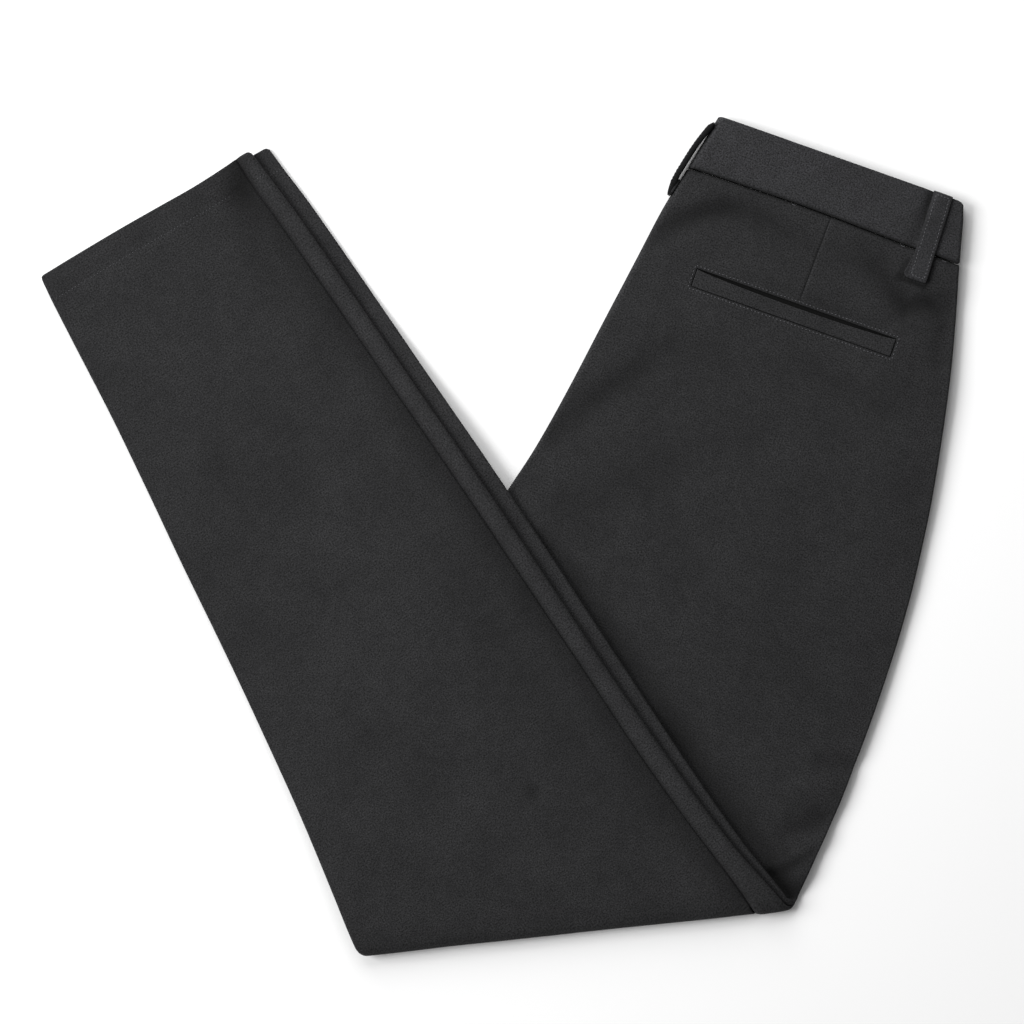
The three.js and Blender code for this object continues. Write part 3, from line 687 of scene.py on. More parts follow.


def twill(name, dark, light, grain_dark, sheen):
    """Brushed twill between two greys. grain_dark is how far a tuft's shadow darkens the colour."""
    made, tree = new_material(name)
    cloth = {"Vector": add_node(tree, "ShaderNodeTexCoord").outputs["UV"]}
    clouds, patches, grain_and_painted_shade = (
        add_node(tree, "ShaderNodeTexNoise", cloth, Scale=1 / (size * MM), Detail=2.0).outputs["Fac"]
        for size in (CLOUD, PATCH, GRAIN)
    )
    turned = {"Vector": add_node(tree, "ShaderNodeMapping", cloth, Rotation=(0, 0, TWILL_ANGLE)).outputs[0]}
    ribs = add_node(tree, "ShaderNodeTexWave", turned, Scale=math.pi / 10 / (RIB * MM), Distortion=1.5)
    cloudy = add_node(tree, "ShaderNodeMath", {0: patches, 2: clouds}, operation="MULTIPLY_ADD")
    cloudy.inputs[1].default_value = PATCH_SHARE
    middle = (1 + PATCH_SHARE) / 2
    tone = add_node(
        tree,
        "ShaderNodeMapRange",
        {"Value": cloudy.outputs[0]},
        From_Min=middle - TONE_SPREAD,
        From_Max=middle + TONE_SPREAD,
    )
    colour = add_node(tree, "ShaderNodeMix", {"Factor": tone.outputs["Result"]}, data_type="RGBA")
    colour.inputs[6].default_value = linear(dark)
    colour.inputs[7].default_value = linear(light)
    tufts = add_node(
        tree,
        "ShaderNodeMapRange",
        {"Value": grain_and_painted_shade},
        From_Min=TUFT_NOISE[0],
        From_Max=TUFT_NOISE[1],
        To_Min=1 - grain_dark,
        To_Max=1 + grain_dark,
    )
    # painted shade from the mesh darkens the colour, and lightens it on ridges as a painted highlight
    painted_shade = {"Value": add_node(tree, "ShaderNodeAttribute", attribute_name="painted_shade").outputs["Fac"]}
    painted_darkening = add_node(tree, "ShaderNodeMapRange", painted_shade, clamp=False, To_Min=1, To_Max=1 - PAINTED_SHADE_STRENGTH)
    shades = {0: tufts.outputs[0], 1: painted_darkening.outputs[0]}
    shade = add_node(tree, "ShaderNodeMath", shades, operation="MULTIPLY")
    colours = {0: colour.outputs[2], 1: shade.outputs[0]}
    grained = add_node(tree, "ShaderNodeVectorMath", colours, operation="MULTIPLY")
    relief = {"Height": add_node(tree, "ShaderNodeMath", {0: grain_and_painted_shade, 1: ribs.outputs["Fac"]}).outputs[0]}
    bump = add_node(tree, "ShaderNodeBump", relief, Strength=RELIEF_STRENGTH, Distance=RELIEF * MM)
    cotton = add_node(
        tree,
        "ShaderNodeBsdfPrincipled",
        {"Base Color": grained.outputs[0], "Normal": bump.outputs["Normal"]},
        Roughness=0.92,
        IOR=1.47,
        Specular_IOR_Level=0.2,
        Sheen_Weight=sheen,
        Sheen_Roughness=0.6,
    )
    add_node(tree, "ShaderNodeOutputMaterial", {"Surface": cotton.outputs["BSDF"]})
    return made


brushed_twill = twill("brushed_cotton_twill", "1C1C1D", "2A2A2B", 0.8, 0.03)
band_twill = twill("brushed_twill_on_interlining", "222223", "313133", 0.8, 0.03)
loop_twill = twill("brushed_twill_folded_strap", "232324", "303032", 0.7, 0.03)
# the pocket lining is a real piece, drawn near-black as painted shade for the pocket's mouth
pocket_lining_shade = twill("pocket_lining_painted_shade", "060606", "0A0A0A", 0.1, 0.0)
print("materials:", brushed_twill.name, band_twill.name, loop_twill.name, pocket_lining_shade.name)

# %% [markdown]
# ## Right back leg
#
# This panel is the whole top of the upper half. It turns down over the seat fold on the left to the seat
# seam, and over the hip on the right to the side seam. The pocket is a window in it, so the grid has lines
# exactly on the window's edges and the faces inside are left out. The dart is a narrow fold sewn from the
# waist to the pocket: a line where the cloth dips sharply.

# %% Right back leg
POCKET = {"from": -64.8, "to": 72.0, "top": 97.2, "bottom": 109.7}  # mm across and down
DART = {"top_across": 6.0, "bottom_across": 4.8, "top": 38.0, "bottom": 96.5, "depth": 0.6, "half_width": 0.8}
DART_END = 6  # mm over which it runs out
SEAM_GAP = 1.1  # mm between the rounded edges of a seam
BAND_SEAM_GAP = 1.0  # and of the waistband's
SEAM_PAINTED_SHADE = 0.9  # painted shade on the edges of the band's seam
SEAM_ROLL = 0.7  # mm that cloth rolls down into a seam
SEAM_ROLL_WIDTH = 1.4  # mm
WINDOW_ROLL = 0.5  # share of that round the pocket
FOLD_STRETCH = 6  # mm on both sides of the knee fold's middle, where the stretched cloth
STRETCHED = 0.9  # loses this share of its roll
FOLD_CLEAR = 0.05  # mm from the fold's start to the pieces before and after it


def along_at(s, across):
    """Where a line at that distance across the garment crosses the sections."""
    return (across - s["inner_across"]) / (s["outer_across"] - s["inner_across"]) * s["width"]


def across_at(s, along):
    """The other way round: how far across the garment a point of a section lies."""
    return s["inner_across"] + along / s["width"] * (s["outer_across"] - s["inner_across"])


def dart_across(down):
    """How far across the garment the dart lies."""
    share = np.clip((down - DART["top"]) / (DART["bottom"] - DART["top"]), 0, 1)
    return DART["top_across"] + share * (DART["bottom_across"] - DART["top_across"])


def roll(distance):
    """How deep cloth dips at a distance from a seam."""
    return SEAM_ROLL * bell(distance, SEAM_ROLL_WIDTH)


def roll_on_leg(t, distance):
    """The same in each section of a leg. Round the knee fold the cloth is stretched and hardly dips."""
    at_fold = bell(t - (ROW["fold start"] + ROW["fold end"]) / 2, FOLD_STRETCH)
    return roll(distance) * (1 - STRETCHED * at_fold)[:, None]


def inner_turn(s):
    """Radius of the seat fold, or below the crotch of the upper leg's own edge."""
    return s["stack"] / 2 + s["split"] * (s["edge"] - s["stack"] / 2)


half_cloth = TWILL / 2
first, last = ROW["band seam"] + BAND_SEAM_GAP / 2, ROW["fold start"] - FOLD_CLEAR
t = spaced(first, last, STEP, (POCKET["top"], POCKET["bottom"]))
s = section(t)
turn, side, top = inner_turn(s), s["width"] - s["edge"], s["stack"] - half_cloth
line = joined(
    bend(s, turn, s["stack"] - turn, turn - half_cloth, 180, 90),
    level(s, turn, along_at(s, POCKET["from"]), top),
    level(s, along_at(s, POCKET["from"]), along_at(s, dart_across(t)), top),
    level(s, along_at(s, dart_across(t)), along_at(s, POCKET["to"]), top),
    level(s, along_at(s, POCKET["to"]), side, top),
    bend(s, side, s["stack"] - s["edge"], s["edge"] - half_cloth, 90, 0),
)
t_grid = np.broadcast_to(t[:, None], line.shape[:2])
across = across_at({name: value[:, None] for name, value in s.items()}, line[..., 0])
to_window = np.maximum.reduce(
    [POCKET["from"] - across, across - POCKET["to"], POCKET["top"] - t_grid, t_grid - POCKET["bottom"]]
)
outside = np.maximum(to_window, 0)
along_dart = 1 - ease(t_grid, DART["bottom"] - DART_END, DART["bottom"])
dip = DART["depth"] * along_dart * bell(across - dart_across(t_grid), DART["half_width"])
dip = dip + roll(t_grid - t[0]) + WINDOW_ROLL * roll(outside)
middle, places = place(t_grid, line[..., 0], line[..., 1] - dip)
# painted shade along the band's seam
places[..., 2] += SEAM_PAINTED_SHADE * roll(t_grid - t[0]) / SEAM_ROLL
distance = np.minimum(edge_distance(line, t, (True, False)), outside)
centre = (to_window[:-1, :-1] + to_window[1:, 1:]) / 2
right_back_leg = shell("right_back_leg", middle, taper(distance, TWILL), places, keep=centre > 0)
wear(right_back_leg, "right_back_panel", brushed_twill, line, t)

# %% [markdown]
# ## Left back leg
#
# Past the knee fold the other back leg is on top. The piece starts on the table, runs round the fold and
# ends at the hem. On the right it dips into the side seam. At the hem the cloth is turned up inside, which
# makes the last 17 mm thicker, and the row of stitches that holds it pulls the cloth in a little.

# %% Left back leg
HEM_DEPTH = 17  # mm
HEM_CORNER = 3.0  # mm, radius of a pressed hem's corner
HEM_SWELLS = (-1, 8)  # mm past the stitches, where the hem starts to be thicker and is
HEM_ROW = ROW["hem"] - HEM_DEPTH
STITCH_PULL, STITCH_PULL_WIDTH = 0.1, 0.9  # mm that the row of stitches pulls the cloth in
FOLD_ROWS = 19  # sections of the fold, its two ends included
FOLD_START_FINE, FOLD_END_FINE = 0.8, 0.4  # mm of the fold's ends that keep their fine rows too


def lower_rows(step=STEP):
    """Sections from the knee fold to the hem, close together on the fold, the hem's stitches and the edge."""
    start, end = ROW["fold start"], ROW["fold end"]
    rows = spaced(start + FOLD_CLEAR, ROW["hem"], step, (HEM_ROW,))
    off_fold = (rows < start + FOLD_START_FINE) | (rows > end - FOLD_END_FINE)
    return np.array(sorted(set(rows[off_fold]) | set(np.linspace(start, end, FOLD_ROWS)[1:-1])))


def hem_thickness(t):
    """Cloth thickness: one layer, and more where the hem is turned up."""
    return TWILL + (HEM_CLOTH - TWILL) * ease(t, HEM_ROW + HEM_SWELLS[0], HEM_ROW + HEM_SWELLS[1])


def stitch_pull(t):
    """How deep the row of stitches pulls the cloth in."""
    return STITCH_PULL * bell(t - HEM_ROW, STITCH_PULL_WIDTH)


def corner(t, from_edge):
    """t and the distance from a leg's edge, with the corner at the hem's end rounded."""
    a, b = np.maximum(HEM_CORNER - (ROW["hem"] - t), 0), np.maximum(HEM_CORNER - from_edge, 0)
    share = np.where((a > 0) & (b > 0), np.maximum(a, b) / np.maximum(np.hypot(a, b), 1e-9), 1)
    t = np.where(a > 0, ROW["hem"] - (HEM_CORNER - a * share), t)
    return t, np.where(b > 0, HEM_CORNER - b * share, from_edge)


def leg_piece(name, node, t, line, side=None, bowed=False, cut=(False, True)):
    """A piece of a leg that stands for a CAD node, from its line in each section, with its hem's corners
    rounded. side is the leg's edge."""
    t_grid = np.broadcast_to(t[:, None], line.shape[:2])
    round_t, along = corner(t_grid, line[..., 0])
    if side is not None:
        round_t, from_edge = corner(round_t, side[:, None] - along)
        along = side[:, None] - from_edge
    middle, places = place(round_t, along, line[..., 1], bowed)
    made = shell(name, middle, taper(edge_distance(line, t, cut), hem_thickness(t_grid)), places)
    wear(made, node, brushed_twill, line, t)
    return made


t = lower_rows()
s = section(t)
edge, half_cloth = s["edge"], hem_thickness(t) / 2
seam = seam_at(s) - SEAM_GAP / 2
line = joined(bend(s, edge, edge, edge - half_cloth, 180, 270), level(s, edge, seam, half_cloth))
line[..., 1] += roll_on_leg(t, seam[:, None] - line[..., 0]) + stitch_pull(t)[:, None]
left_back_leg = leg_piece("left_back_leg", "left_back_panel", t, line, bowed=True)

# %% [markdown]
# ## Front legs
#
# Only a strip of each front leg shows. The left one starts at the side seam and turns round the leg's edge
# to the inside. The right one belongs to the leg below, which lies a few millimetres further out, and it
# turns under to its own side seam.

# %% Front legs
FRONT_TURN = 4  # mm that the left front leg reaches back past its side seam, inside the leg
UNDER_SEAM = 13  # mm from the right leg's edge to its side seam, underneath
STRIP_STEP = 1.6  # mm between the points of a strip
STEP_INSIDE = 3  # mm inside the left leg's edge, where the right leg's strip starts to show

left_side, right_side = s["width"] - s["step"], s["width"]
strip_start, inner_end = seam_at(s) + SEAM_GAP / 2, seam_at(s) - FRONT_TURN
on_top = level(s, strip_start, left_side - edge, half_cloth, STRIP_STEP)
on_top[..., 1] += roll_on_leg(t, on_top[..., 0] - strip_start[:, None]) + stitch_pull(t)[:, None]
line = joined(
    on_top,
    bend(s, left_side - edge, edge, edge - half_cloth, -90, 90, 12),
    level(s, left_side - edge, inner_end, s["ply"] + half_cloth, fine=False),
)
leg_piece("left_front_leg", "left_front_panel", t, line, left_side, bowed=True)

lower_top = 2 * s["ply"] + half_cloth
line = joined(
    level(s, inner_end, left_side - STEP_INSIDE, lower_top, fine=False),
    level(s, left_side - STEP_INSIDE, right_side - edge, lower_top, STRIP_STEP, fine=False),
    bend(s, right_side - edge, s["stack"] - edge, edge - half_cloth, -90, 90, 12),
    level(s, right_side - edge, right_side - UNDER_SEAM, s["stack"] - half_cloth, fine=False),
)
leg_piece("right_front_leg", "right_front_panel", t, line, right_side)

# %% [markdown]
# ## Hidden layers
#
# The rest of the cloth lies inside the stack, and only its edges show: at the sides, in the hems and at the
# waist. It is made as real layers too, so that a look into a leg finds a hollow tube. Above the crotch both
# fronts meet in the front seam, inside the fold. Below it each leg closes round its own inseam, so the end
# of each layer turns the other way, and the two forms blend between the two.

# %% Hidden layers
FRONT_SEAM = 9  # mm from the seat fold to where the fronts meet inside
HIDDEN_ROWS = 90  # sections, evenly apart
BELOW_BAND, BEFORE_FOLD = 0.15, 0.1  # mm from the band's seam and the knee fold to the first and last row


def blended(first, second, share):
    """A line between two others, by a share for each section."""
    return first + np.asarray(share)[:, None, None] * (second - first)


half_cloth = TWILL / 2
t = np.linspace(ROW["band seam"] + BELOW_BAND, ROW["fold start"] - BEFORE_FOLD, HIDDEN_ROWS)
s = section(t)
turn, edge, ply, stack, split = inner_turn(s), s["edge"], s["ply"], s["stack"], s["split"]
side = s["width"] - edge
inside = FRONT_SEAM * (1 - split) + edge * split
fronts_meet = bend(s, FRONT_SEAM, 1.5 * ply + half_cloth, ply / 2, 270, 180)
line = joined(
    bend(s, turn, turn, turn - half_cloth, 180, 270),
    hidden_level(s, turn, side, half_cloth),
    bend(s, side, edge, edge - half_cloth, -90, 90),
    hidden_level(s, side, inside, ply + half_cloth),
    blended(fronts_meet, bend(s, edge, edge, edge - half_cloth, 90, 180), split),
)
leg_piece("left_leg_below", "hidden_layers", t, line, cut=(True, False))

fronts_meet = bend(s, FRONT_SEAM, 1.5 * ply + half_cloth, ply / 2, 90, 180)
line = joined(
    bend(s, side, stack - edge, edge - half_cloth, 0, -90),
    hidden_level(s, side, inside, 2 * ply + half_cloth),
    blended(fronts_meet, bend(s, edge, stack - edge, edge - half_cloth, 270, 180), split),
)
leg_piece("right_front_below", "hidden_layers", t, line, cut=(True, False))

# %% [markdown]
# Past the knee fold the same is left of each leg: the inside of the left one, and the right one round its
# inseam to the seam underneath. Their rows can be further apart than those of the cloth on top.

# %% Hidden layers past the knee
LOWER_STEP = 6  # mm between rows

t = lower_rows(LOWER_STEP)
s = section(t)
edge, stack, half_cloth = s["edge"], s["stack"], hem_thickness(t) / 2
inner_end = seam_at(s) - FRONT_TURN - GAP
line = joined(
    hidden_level(s, inner_end, edge, s["ply"] + half_cloth),
    bend(s, edge, edge, edge - half_cloth, 90, 180),
)
leg_piece("left_front_inside", "hidden_layers", t, line, bowed=True)

line = joined(
    hidden_level(s, inner_end, edge, 2 * s["ply"] + half_cloth),
    bend(s, edge, stack - edge, edge - half_cloth, 270, 90, 12),
    hidden_level(s, edge, s["width"] - UNDER_SEAM - GAP, stack - half_cloth),
)
leg_piece("right_leg_below", "hidden_layers", t, line)

# %% [markdown]
# ## Waistband
#
# The waistband is one long strip, doubled over an interlining, so it is firmer and thicker than the legs.
# It is folded with the trousers into four layers: out at the top, round the side, back to the front, and so
# on. The top edge is a fold and therefore round. The lower edge rolls into the seam.

# %% Waistband
BAND_PLY = 2.9  # mm from one layer of the folded band to the next
BAND_CORNERS = (2.6, 4.5)  # mm, radius of the top corners at the seat fold and at the side
BAND_ROW_STEP, BAND_STEP = 2.2, 2.4  # mm between rows, and between the points of a row on top
SEAT_OPEN = 4  # degrees that the band's two edges keep apart at the seat fold

t = spaced(ROW["waist"], ROW["band seam"] - BAND_SEAM_GAP / 2, BAND_ROW_STEP)
s = section(t)
half_band, turn = BAND_CLOTH / 2, BAND_PLY / 2
band_stack = 3 * BAND_PLY + BAND_CLOTH
seat, side = band_stack / 2, s["width"] - turn - half_band
line = joined(
    bend(s, seat, seat, seat - half_band, 180, 90, 10),
    level(s, seat, side, band_stack - half_band, BAND_STEP, fine=False),
    bend(s, side, half_band + 2.5 * BAND_PLY, turn, 90, -90, 12),
    hidden_level(s, side, FRONT_SEAM, half_band + 2 * BAND_PLY),
    bend(s, FRONT_SEAM, half_band + 1.5 * BAND_PLY, turn, 90, 270),
    hidden_level(s, FRONT_SEAM, side, half_band + BAND_PLY),
    bend(s, side, half_band + 0.5 * BAND_PLY, turn, 90, -90, 12),
    hidden_level(s, side, seat, half_band),
    bend(s, seat, seat, seat - half_band, 270, 180 + SEAT_OPEN, 10),
)
outer_roll = roll((t[-1] - t)[:, None]) * ease(line[..., 1], seat, band_stack - half_band)
t_grid = np.broadcast_to(t[:, None], line.shape[:2])
along = line[..., 0]
for radius, inside in zip(BAND_CORNERS, (along, s["width"][:, None] - along)):
    t_grid = t_grid + drawn_back(radius, inside) * (1 - ease(t_grid, 0, 3 * radius))
middle, places = place(t_grid, along, line[..., 1] - outer_roll)
# painted shade along the band's seam
places[..., 2] += SEAM_PAINTED_SHADE * outer_roll / SEAM_ROLL
waistband = shell("waistband_cloth", middle, taper(edge_distance(line, t), BAND_CLOTH), places)
wear(waistband, "waistband", band_twill, line, t)

# %% [markdown]
# ## Back pocket
#
# A single-welt pocket: a folded strip of twill fills the window in the leg, apart from a narrow mouth along
# its top edge. The lining behind the mouth is drawn near-black as painted shade, so the mouth reads as a dark
# line.

# %% Back pocket
WELT_PROUD = 0.4  # mm that the welt stands above the leg
WELT_COLUMN_STEP, WELT_STEP = 2.0, 1.0  # mm between its points across and down
MOUTH = 2.9  # mm, the mouth's width at its middle
MOUTH_MEAN = 0.7  # share of that, on average
BAG_BELOW = 1.0  # mm from the leg's cloth down to the lining
BAG_MARGIN = 4  # mm of it round the pocket
BAG_CLOTH = 0.4  # mm
BAG_COLUMNS, BAG_ROWS = 40, 10


def mouth_at(across):
    """Width of the pocket's mouth, which closes towards both ends."""
    share = np.clip((across - POCKET["from"]) / (POCKET["to"] - POCKET["from"]), 0, 1)
    return GAP + (MOUTH - GAP) * np.sqrt(np.sin(np.pi * share))


def flat_patch(columns, first_row, last_row, shares, height):
    """A grid between two lines across the upper half, at a height above its top. shares tells where between
    those lines the rows are."""
    down = first_row + shares[:, None] * (last_row - first_row) + 0 * columns
    across = columns + 0 * down
    s = section(down)
    return *place(down, along_at(s, across), s["stack"] + height), down, across


columns = spaced(POCKET["from"] + GAP, POCKET["to"] - GAP, WELT_COLUMN_STEP)
welt_depth = POCKET["bottom"] - POCKET["top"] - MOUTH
middle, places, down, across = flat_patch(
    columns,
    POCKET["top"] + mouth_at(columns),
    POCKET["bottom"] - GAP,
    spaced(0, welt_depth, WELT_STEP) / welt_depth,
    WELT_PROUD - TWILL / 2,
)
inside = np.minimum.reduce(
    [down - down[:1], down[-1:] - down, across - across[:, :1], across[:, -1:] - across]
)
back_pocket_welt = shell("back_pocket_welt_cloth", middle, taper(inside, TWILL), places)
wear(back_pocket_welt, "back_pocket_welt", brushed_twill)
pocket_width, pocket_depth = POCKET["to"] - POCKET["from"], POCKET["bottom"] - POCKET["top"]
cut_to(back_pocket_welt, pocket_width - 2 * GAP, pocket_depth - MOUTH * MOUTH_MEAN)

middle, places, down, across = flat_patch(
    np.linspace(POCKET["from"] - BAG_MARGIN, POCKET["to"] + BAG_MARGIN, BAG_COLUMNS),
    POCKET["top"] - BAG_MARGIN,
    POCKET["bottom"] + BAG_MARGIN,
    np.linspace(0, 1, BAG_ROWS),
    -TWILL - BAG_BELOW,
)
back_pocket_bag = shell("back_pocket_bag", middle, np.full(down.shape, BAG_CLOTH / 2), places)
wear(back_pocket_bag, "hidden_layers", pocket_lining_shade)
cut_to(back_pocket_bag, pocket_width + 2 * BAG_MARGIN, pocket_depth + 2 * BAG_MARGIN)

# %% [markdown]
# ## Belt loops
#
# A belt loop is a strip folded to about 13 mm and sewn down at both ends. The one near the side lies flat,
# with its end turned under. Its path is a side view of the strap: over the band's top edge, along the band,
# down over the seam, and round the end.

# %% Loop near the side
LOOP = {"width": 12.9, "top": 69.4, "bottom": 71.2, "end": 57.2}  # mm; top and bottom are across, end is down
LOOP_POINTS, LOOP_COLUMNS = 0.5, 1.0  # mm between the points along a loop and across it
TAIL = 15  # mm of its lower end are turned under,
TAIL_SLANT = 3.1  # not quite straight
TAIL_BLEND = (16, 12.5)  # mm before the strap's end, where its tail starts and is complete
LOOP_ON_BAND = [  # mm down from the waist, and above where the strap would lie flat on the band
    (-0.85, -5.4), (-0.85, -2.7), (-0.4, -0.6), (1.0, -0.05), (4, 0.15), (19, 0.25), (33, 0.2), (40, -0.4),
]  # fmt: skip
LOOP_ON_LEG = [  # mm up from the loop's lower end, and above where the strap would lie flat on the leg
    (11.2, 1.6), (3.6, 1.5), (1, 1.35), (0.2, 0.7), (1, 0), (3.6, 0), (TAIL, 0),
]  # fmt: skip
EDGE_PAINTED_SHADE = 0.5  # painted shade along a strap's folded edges,
EDGE_PAINTED_SHADE_WIDTH = 0.9  # over this many mm,
TAIL_PAINTED_SHADE = 0.55  # and painted shade on a loop's tail


def curve_through(points, step):
    """Points about a step apart on a smooth curve through the given ones."""
    points = np.array(points, float)
    length = np.concatenate([[0], np.cumsum(np.hypot(*np.diff(points, axis=0).T))])
    at = np.linspace(0, length[-1], round(length[-1] / step))
    return np.stack([smooth(length, points[:, 0], at), smooth(length, points[:, 1], at)], axis=-1), at


def strap(name, down, height, along, at, width, wide, thickness=LOOP_CLOTH, grain_and_painted_shade=0.0):
    """A strip of folded cloth. The first axis runs along it, and wide holds the places across it.
    grain_and_painted_shade is its painted shade: how much darker it is drawn."""
    middle, places = place(down, along, height)
    edges = np.minimum(wide - wide[0], wide[-1] - wide)[None, :]
    # painted shade: the strap's own, and darker along its folded edges
    places[..., 2] = np.maximum(grain_and_painted_shade, EDGE_PAINTED_SHADE * bell(edges, EDGE_PAINTED_SHADE_WIDTH))
    ends = np.minimum(at - at[0], at[-1] - at)[:, None]
    made = shell(name, middle, taper(np.minimum(edges, ends), thickness), places)
    cut_to(made, width, float(at[-1]))
    return made


def near_end(at, start, full):
    """0 up to start mm before a strap's end, 1 from full mm before it."""
    return ease(at, at[-1] - start, at[-1] - full)[:, None]


def loop_across(down):
    """How far across the garment the middle of the side loop lies."""
    return LOOP["top"] + np.clip(down / LOOP["end"], 0, 1) * (LOOP["bottom"] - LOOP["top"])


half_loop = LOOP_CLOTH / 2
on_band = band_stack + GAP + half_loop
on_panel = float(section(LOOP["end"])["stack"]) + GAP + half_loop
path = [(down, on_band + up) for down, up in LOOP_ON_BAND]
path += [(LOOP["end"] - back, on_panel + up) for back, up in LOOP_ON_LEG]
side_path, side_at = curve_through(path, LOOP_POINTS)
wide = spaced(-LOOP["width"] / 2, LOOP["width"] / 2, LOOP_COLUMNS)
down, height = (side_path[:, [i]] + 0 * wide for i in (0, 1))
in_tail = near_end(side_at, *TAIL_BLEND)
slanted = TAIL_SLANT * in_tail * np.clip((side_at[-1] - side_at) / TAIL, 0, 1)[:, None]
along = along_at(section(down), loop_across(down) + wide - slanted)
# painted shade on the side loop's tail
belt_loop_side = strap(
    "side_belt_loop", down, height, along, side_at, LOOP["width"], wide, grain_and_painted_shade=TAIL_PAINTED_SHADE * in_tail
)
wear(belt_loop_side, "belt_loop_side", loop_twill)

# %% [markdown]
# The seat fold runs through the middle of the loop at the centre back, so that one stands on its edge and
# bows away from the band. Its path is seen from above: the distance down from the waist, and out from the
# seat fold.

# %% Loop at the centre back
BACK_LOOP = [
    (5.0, 0.2), (10, 1.45), (15, 2.2), (21, 3.0), (30, 3.5), (40, 3.6), (48, 3.1), (53, 2.5),
    (56.5, 1.8), (57.6, 1.2), (56.8, 0.6), (52, 0.5), (46, 0.6),
]  # fmt: skip
BACK_LOOP_POINTS = 0.6  # mm between them, once they are a curve
BACK_LOOP_BASE, BACK_LOOP_HEIGHT = 2.2, 10.2  # mm, how high it starts above the table, and its own height
BACK_LOOP_THICKNESS, BACK_LOOP_END_THICKNESS = 3.8, 1.6  # it is a folded strap, flatter where it is sewn on
BACK_LOOP_SWELLS = 4  # mm over which its upper end gets thicker
BACK_LOOP_FLAT = (22, 10)  # mm before its lower end, where it gets flatter and is flat,
BACK_LOOP_SINKING = (28, 15)  # where it gets lower and is low,
BACK_LOOP_TAIL = (12, 9)  # and where its tail starts and is complete
BACK_LOOP_SINKS = 0.36  # share of its height that it loses
BACK_LOOP_PAINTED_SHADE = 1.15  # painted shade on it before its tail

back_path, back_at = curve_through(BACK_LOOP, BACK_LOOP_POINTS)
wide = spaced(0, BACK_LOOP_HEIGHT, LOOP_COLUMNS)
down, out = (back_path[:, [i]] + 0 * wide for i in (0, 1))
swollen = ease(back_at, 0, BACK_LOOP_SWELLS)[:, None] * (1 - near_end(back_at, *BACK_LOOP_FLAT))
thickness = BACK_LOOP_END_THICKNESS + (BACK_LOOP_THICKNESS - BACK_LOOP_END_THICKNESS) * swollen
height = BACK_LOOP_BASE + wide * (1 - BACK_LOOP_SINKS * near_end(back_at, *BACK_LOOP_SINKING))
# painted shade on the back loop, less of it on the tail
grain_and_painted_shade = BACK_LOOP_PAINTED_SHADE - (BACK_LOOP_PAINTED_SHADE - TAIL_PAINTED_SHADE) * near_end(back_at, *BACK_LOOP_TAIL)
belt_loop_back = strap(
    "centre_back_belt_loop", down, height, -out, back_at, BACK_LOOP_HEIGHT, wide, thickness, grain_and_painted_shade
)
wear(belt_loop_back, "belt_loop_back", loop_twill)

# %% [markdown]
# ## Stitches
#
# Matching thread, drawn a little lighter than the cloth as a painted highlight for its shine. One stitch is
# modelled: a grain of rice, as long as the visible part of the thread. It is copied along each row into one
# mesh. The rows are where they are in the photograph: round the pocket, along both edges of the loops, and
# 17 mm above the hems.

# %% One stitch
THREAD = 0.45  # mm thick
THREAD_FLAT = 0.8  # share of that left under tension

bpy.ops.object.select_all(action="DESELECT")
bpy.ops.mesh.primitive_uv_sphere_add(segments=8, ring_count=6, radius=0.5)
bpy.ops.transform.resize(value=(1, THREAD, THREAD * THREAD_FLAT))
bpy.ops.object.transform_apply(scale=True)
stitch = bpy.context.object
STITCH_POINTS = np.array([v.co[:] for v in stitch.data.vertices])
STITCH_FACES = [tuple(f.vertices) for f in stitch.data.polygons]
bpy.data.objects.remove(stitch)
print("one stitch has", len(STITCH_FACES), "faces")


def stitches(name, rows):
    """Copies of the stitch. A row is its stitches' middles, their directions and the cloth's outward
    directions, all in mm, and how long a stitch is."""
    points, faces = [], []
    for middles, ways, outs, length in rows:
        ways = ways / np.linalg.norm(ways, axis=1, keepdims=True)
        sides = np.cross(outs, ways)
        sides /= np.linalg.norm(sides, axis=1, keepdims=True)
        tops = np.cross(ways, sides)
        for middle, way, side_way, up in zip(middles, ways, sides, tops):
            shape = STITCH_POINTS * (length, 1, 1)
            faces += [tuple(i + len(points) * len(STITCH_POINTS) for i in f) for f in STITCH_FACES]
            points.append(middle + shape @ np.stack([way, side_way, up]))
    mesh = bpy.data.meshes.new(name)
    mesh.from_pydata((np.concatenate(points) * MM).tolist(), [], faces)
    mesh.shade_smooth()
    made = bpy.data.objects.new(name, mesh)
    bpy.context.collection.objects.link(made)
    print(name, "has", len(points), "stitches")
    return made


def evenly(start, stop, pitch):
    """Middles of stitches from start to stop."""
    count = max(1, round(abs(stop - start) / pitch))
    return start + (np.arange(count) + 0.5) / count * (stop - start)


def row_on(where, at, length, small=0.05):
    """A row on the cloth. where gives points in mm for places at along the row and a height above the cloth.
    Points a small way ahead and above tell the stitches' directions."""
    middles, ahead, outer = where(at, 0.0), where(at + small, 0.0), where(at, small)
    return middles, ahead - middles, outer - middles, length

# %% [markdown]
# Each row needs only a function from a distance along it, and a height above the cloth, to a place on the
# garment. The functions use the same sections as the cloth, so the stitches lie on it in every crease.

# %% Rows round the pocket
STITCH_PITCH, STITCH_LENGTH = 2.5, 1.15  # mm
WELT_STITCH_OUT = 1.5  # mm from the window's edge
SUNK = 0.1  # mm that a stitch's middle lies above the cloth


def running(at, *given):
    """Each given value for all stitches of a row, and at itself for the one that isn't given."""
    return (at if value is None else value + 0 * at for value in given)


def on_leg(down=None, across=None):
    """A row on the upper half, at one distance down or across."""

    def where(at, above):
        row_down, row_across = running(at, down, across)
        s = section(row_down)
        return place(row_down, along_at(s, row_across), s["stack"] + SUNK + above)[0]

    return where


